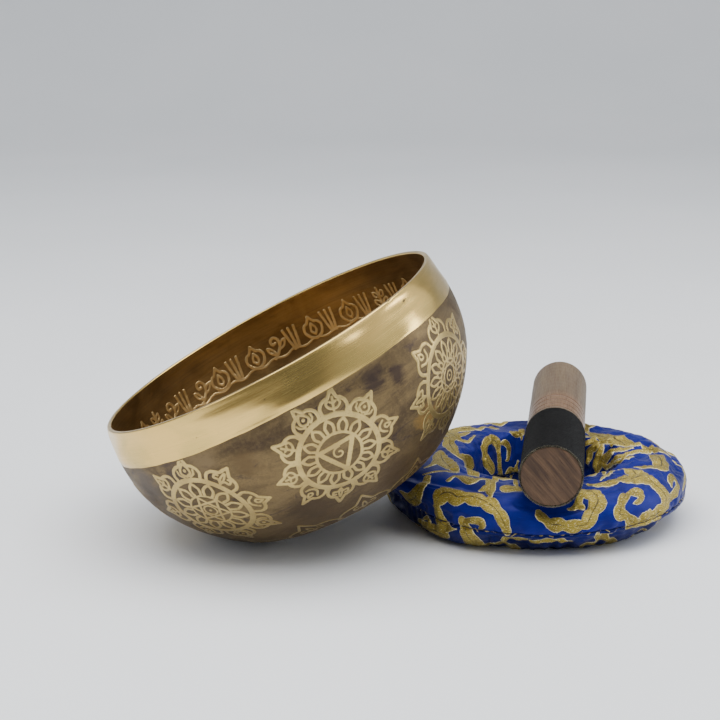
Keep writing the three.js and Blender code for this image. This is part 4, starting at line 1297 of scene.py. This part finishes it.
def stitches(name, share, count, length, radius, mat, node, seed, spread, lift):
    """A row of hand-sewn stitches that straddle a seam and dive into it at both ends."""
    g = np.random.default_rng(seed)
    verts, faces, cl, shade = [], [], [], []
    nseg, nside = 9, 7
    base = 0
    for k in range(count):
        mid = (k + g.uniform(-0.16, 0.16)) / count
        ln = length * g.uniform(0.62, 1.12)
        lean = g.uniform(-1, 1) * spread
        off = g.uniform(-0.5, 0.5) * spread * 0.6
        rad = radius * g.uniform(0.85, 1.12)
        P0 = sample(S1, np.array([mid]), np.array([share % 1]))[0]
        r = math.hypot(P0[0] - RING[0], P0[1] - RING[1])
        q = np.linspace(-0.5, 0.5, nseg)
        tt = mid + q * ln / (2 * math.pi * r)
        ss = share + (off + lean * q * 2) / LOOP
        line = fine_cloth(tt % 1, ss % 1, lift - (lift + 1.3) * (2 * np.abs(q)) ** 4)
        tan = np.gradient(line, axis=0); tan /= np.linalg.norm(tan, axis=1)[:, None]
        nrm = sample(N1, tt % 1, ss % 1); nrm /= np.linalg.norm(nrm, axis=1)[:, None]
        bi = np.cross(tan, nrm); bi /= np.linalg.norm(bi, axis=1)[:, None]
        nrm = np.cross(bi, tan)
        a = np.arange(nside) / nside * 2 * np.pi
        w = rad * (1 - 0.35 * (2 * np.abs(q)) ** 3)
        tube = line[:, None, :] + w[:, None, None] * (np.cos(a)[None, :, None] * nrm[:, None, :] + np.sin(a)[None, :, None] * bi[:, None, :])
        verts.append(tube.reshape(-1, 3)); verts.append(line[[0, -1]])
        cl.append(np.stack([np.repeat(q * ln, nside), np.tile(a, nseg) * 0.6, np.zeros(nseg * nside)], 1)); cl.append(np.zeros((2, 3)))
        shade.append(np.full(nseg * nside + 2, g.uniform(0, 1)))
        faces.append(("q", quads(nseg, nside, False, True, base)))
        kk = np.arange(nside)
        e0, e1 = base + nseg * nside, base + nseg * nside + 1
        faces.append(("t", np.stack([np.full(nside, e0), base + kk, base + (kk + 1) % nside], 1)))
        last = base + (nseg - 1) * nside
        faces.append(("t", np.stack([np.full(nside, e1), last + (kk + 1) % nside, last + kk], 1)))
        base += nseg * nside + 2
    V = np.concatenate(verts)
    V[:, 2] = np.maximum(V[:, 2], 0.0)
    F = [np.concatenate([f for t, f in faces if t == "q"]), np.concatenate([f for t, f in faces if t == "t"])]
    ob = make(name, V, F, [mat], "cushion", point={"shade": np.concatenate(shade)}, vector={"cloth": np.concatenate(cl), "where": V})
    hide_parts(node)
    return ob


m_thread = thread_cotton("thread_gold", srgb(196, 178, 110), srgb(120, 102, 54))
m_thread_blue = thread_cotton("thread_blue", srgb(40, 62, 132), srgb(18, 28, 66))
stitches("cushion_seam_stitches", EDGE, 104, 3.2, 0.26, m_thread, "cushion_seam_thread", 3, 1.1, 0.32)
stitches("cushion_gather_stitches", HOLE, 48, 4.4, 0.45, m_thread_blue, "cushion_gather_thread", 4, 0.5, 0.7)

# ------------------------------------------------------------------ striker
UPV = np.array([0.0, 0.0, 1.0])


def rod(B):
    return STRIKER + B[..., 0:1] * SIDE + B[..., 1:2] * UPV + B[..., 2:3] * AXIS


def turned_piece(name, profile, seg, mats, wobble, index=None, end_mat=None):
    """A lathe piece along the striker from (radius, z) rows; first and last rows may lie on the axis."""
    P = np.asarray(profile, float)
    a = np.arange(seg) / seg * 2 * np.pi
    ring_rows = [k for k in range(len(P)) if P[k, 0] > 1e-6]
    V = []
    for k in ring_rows:
        r, zz = P[k]
        rr = r + wobble(a, np.full(seg, zz), r)
        V.append(np.stack([rr * np.cos(a), rr * np.sin(a), np.full(seg, zz)], -1))
    V = np.concatenate(V)
    n = len(ring_rows)
    F = [quads(n, seg, False, True)]
    mi = list(np.repeat([index(P[ring_rows[k]], P[ring_rows[k + 1]]) if index else 0 for k in range(n - 1)], seg))
    caps = []
    kk = np.arange(seg)
    if P[0, 0] <= 1e-6:
        V = np.vstack([V, [[0, 0, P[0, 1]]]])
        caps.append(np.stack([np.full(seg, len(V) - 1), kk, (kk + 1) % seg], 1)); mi += [index(P[0], P[1]) if index else 0] * seg
    if P[-1, 0] <= 1e-6:
        V = np.vstack([V, [[0, 0, P[-1, 1]]]])
        caps.append(np.stack([np.full(seg, len(V) - 1), (n - 1) * seg + (kk + 1) % seg, (n - 1) * seg + kk], 1)); mi += [index(P[-2], P[-1]) if index else 0] * seg
    if P[0, 0] > 1e-6:
        F.append(np.stack([(n - 1) * seg + kk, kk, (kk + 1) % seg, (n - 1) * seg + (kk + 1) % seg], 1)); mi += [0] * seg
    if caps:
        F.append(np.concatenate(caps))
    return make(name, rod(V), F, mats, "striker", mi, vector={"place": V})


stick = [(0, 0)] + [(r, 0.03 * math.sin(r * 3)) for r in (2, 4, 6, 8, 10, 12, 13.6)] + [(14.35, 0.03), (14.75, 0.12), (14.86, 0.45), (14.6, 1.2)]
stick += [(14.2, zz) for zz in np.linspace(2, 71.0, 16)] + [(14.2, 71.35), (14.75, 71.38), (14.98, 71.55), (15.08, 71.9)]
zz = 72.6
while zz < 170:
    d = min(abs(zz - g) for g in (76, 83, 91, 99))
    stick.append((15.1 - 0.62 * math.exp(-(d / 0.52) ** 2) - 0.03 * math.sin(zz * 0.9), zz))
    zz += 0.3 if d < 1.8 else 1.1
stick += [(15.08, 171.5), (14.95, 172.8), (14.55, 174.2), (13.75, 175.6), (12.5, 176.7), (10.8, 177.5), (8.4, 177.9), (5, 178), (2.5, 178), (0, 178)]
rod_wobble = lambda a, z, r: 0.03 * np.sin(2 * a + z * 0.05) * min(1, r / 10) + 0.02 * np.sin(5 * a + z * 0.11) * min(1, r / 10)
m_wood, m_end = wood_side(), wood_end()
wood = turned_piece("striker_wood", stick, 96, [m_wood, m_end], rod_wobble, lambda p, q: 1 if max(p[1], q[1]) < 0.2 else 0)
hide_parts("striker_stick")


def nap(a, z, r):
    g = 0.055 * np.sin(a * 23 + z * 1.9) * np.sin(a * 9 - z * 0.83) + 0.05 * np.sin(a * 41 - z * 2.7 + np.sin(z)) + 0.04 * np.sin(z * 3.3 + 4 * np.sin(a * 5))
    lap = 0.28 * smooth(1 - np.abs(np.arctan2(np.sin(a - 4.9), np.cos(a - 4.9))) / 0.16)
    return (g + lap) if r > 15 else 0 * a


sleeve = [(14.55, 1.6), (14.92, 0.5), (15.05, 0.12), (15.3, 0.1), (15.5, 0.28), (15.6, 0.6)] + [(15.6, zz) for zz in np.linspace(1.0, 70.2, 110)] + [(15.55, 70.7), (15.3, 70.95), (14.9, 70.95), (14.55, 70.8)]
m_suede = suede_hide("suede_black", srgb(3, 3, 4), srgb(6, 6, 7), srgb(54, 54, 52))
hide = turned_piece("striker_sleeve", sleeve, 180, [m_suede], nap)
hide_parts("striker_suede_sleeve")


def fibres(name, mat, jobs):
    """Short loose hairs of the suede: thin three-sided tapers, each from its root along its way."""
    g = np.random.default_rng(77)
    verts, tris, base = [], [], 0
    for count, zr, rr, out_w, length, along in jobs:
        a = g.uniform(0, 2 * np.pi, count)
        z0 = g.uniform(*zr, count)
        r0 = g.uniform(*rr, count)
        ln = g.uniform(0.45, 1.0, count) * length
        ra = a + g.normal(0, 0.02, count)
        root = np.stack([r0 * np.cos(a), r0 * np.sin(a), z0], 1)
        way = np.stack([np.cos(ra) * out_w, np.sin(ra) * out_w, np.full(count, along)], 1)
        tangent = np.stack([-np.sin(a), np.cos(a), 0 * a], 1)
        way = way + tangent * g.normal(0, 0.8, count)[:, None] + np.stack([0 * a, 0 * a, g.normal(0, 0.5, count)], 1)
        way /= np.linalg.norm(way, axis=1)[:, None]
        side = np.cross(way, np.array([0.3, 0.2, 0.9])); side /= np.linalg.norm(side, axis=1)[:, None]
        third = np.cross(way, side)
        w = g.uniform(0.035, 0.06, count)[:, None]
        bend = tangent * (g.normal(0, 0.25, count) * ln)[:, None]
        tip = root + way * ln[:, None] + bend
        A, B, C = root + side * w, root - side * w * 0.5 + third * w * 0.87, root - side * w * 0.5 - third * w * 0.87
        verts.append(np.stack([A, B, C, tip], 1).reshape(-1, 3))
        o = base + np.arange(count)[:, None] * 4
        tris.append(np.concatenate([o + np.array([[0, 1, 3]]), o + np.array([[1, 2, 3]]), o + np.array([[2, 0, 3]]), o + np.array([[0, 2, 1]])]))
        base += count * 4
    V = np.concatenate(verts)
    return make(name, rod(V), np.concatenate(tris), [mat], "striker", vector={"place": V})


m_fuzz = suede_hide("suede_fuzz", srgb(96, 92, 78), srgb(146, 138, 118), srgb(196, 186, 162))
m_nap = suede_hide("suede_nap", srgb(9, 9, 10), srgb(32, 32, 32), srgb(84, 83, 80))
fibres("striker_rim_fuzz", m_fuzz, [(5200, (0.0, 0.5), (14.9, 15.65), 0.45, 0.85, -0.7), (900, (70.6, 70.95), (15.0, 15.6), 0.6, 0.6, 0.6)])
fibres("striker_nap", m_nap, [(9000, (0.3, 70.7), (15.5, 15.6), 1.0, 0.5, 0.0)])

# ------------------------------------------------------------------ floor, light, camera
floor_mat = Mat("floor_paper", Roughness=0.6, Specular_IOR_Level=0.3)
co = floor_mat.nt.nodes.new("ShaderNodeTexCoord").outputs["Object"]
tone = floor_mat.noise(co, 3.0, 2, 0.5)
floor_mat.out(floor_mat.mix(floor_mat.span(tone, 0.3, 0.7), srgb(238, 239, 241), srgb(233, 235, 237)), None, None)
prof = [(-2.2, 0.0)] + [(y, 0.0) for y in np.linspace(-1.6, 1.5, 9)]
prof += [(1.5 + 0.8 * math.sin(t), 0.8 - 0.8 * math.cos(t)) for t in np.linspace(0.1, math.pi / 2, 14)] + [(2.3, 3.2)]
xs = np.linspace(-3.5, 3.5, 9)
FV = np.array([[x, y, zz] for x in xs for y, zz in prof]) / MM
floor = make("floor_sweep", FV, quads(len(xs), len(prof))[:, ::-1], [floor_mat.mat], None, solid=False)
n0 = floor.data.polygons[0].normal.z
if n0 < 0:
    floor.data.flip_normals()

world = bpy.data.worlds.new("studio")
bpy.context.scene.world = world
world.use_nodes = True
wn = world.node_tree
ray = wn.nodes.new("ShaderNodeTexCoord").outputs["Generated"]
sep = wn.nodes.new("ShaderNodeSeparateXYZ")
wn.links.new(ray, sep.inputs[0])
front = wn.nodes.new("ShaderNodeMapRange")  # the studio is dark on the side that the picture is taken from
front.interpolation_type = "SMOOTHSTEP"
wn.links.new(sep.outputs[1], front.inputs["Value"])
front.inputs["From Min"].default_value = -0.95
front.inputs["From Max"].default_value = 0.35
front.inputs["To Min"].default_value = 0.22
front.inputs["To Max"].default_value = 0.62
wn.nodes["Background"].inputs["Color"].default_value = (0.88, 0.93, 1.0, 1)
side = wn.nodes.new("ShaderNodeMapRange")
side.interpolation_type = "SMOOTHSTEP"
wn.links.new(sep.outputs[0], side.inputs["Value"])
side.inputs["From Min"].default_value = 0.3
side.inputs["From Max"].default_value = 0.62
side.inputs["To Min"].default_value = 0.0
side.inputs["To Max"].default_value = 0.42
both = wn.nodes.new("ShaderNodeMath")
wn.links.new(front.outputs[0], both.inputs[0])
wn.links.new(side.outputs[0], both.inputs[1])
wn.links.new(both.outputs[0], wn.nodes["Background"].inputs["Strength"])


def softbox(name, place, aim, size, power, colour=(1, 1, 1)):
    data = bpy.data.lights.new(name, "AREA")
    data.shape = "RECTANGLE"
    data.size, data.size_y = size
    data.energy = power
    data.color = colour
    ob = bpy.data.objects.new(name, data)
    bpy.context.scene.collection.objects.link(ob)
    ob.location = place
    from mathutils import Vector
    ob.rotation_euler = (Vector(aim) - Vector(place)).to_track_quat("-Z", "Y").to_euler()
    return ob


softbox("overhead", (0.0, -0.26, 1.35), (0, -0.10, 0), (2.0, 1.5), 41)
softbox("left_front", (-1.25, -0.75, 0.75), (-0.05, 0, 0.07), (0.8, 0.9), 5.2)
softbox("right", (1.3, 0.10, 0.50), (-0.05, 0, 0.09), (0.36, 0.5), 4.2)

cam_data = bpy.data.cameras.new("camera")
cam_data.lens = 97.147
cam_data.sensor_width = 36
cam_data.clip_start = 0.02
cam = bpy.data.objects.new("camera", cam_data)
bpy.context.scene.collection.objects.link(cam)
cam.location = (-0.022194, -0.97042, 0.32750)
cam.rotation_euler = (math.radians(90 - 13.8446), 0, 0)
bpy.context.scene.camera = cam
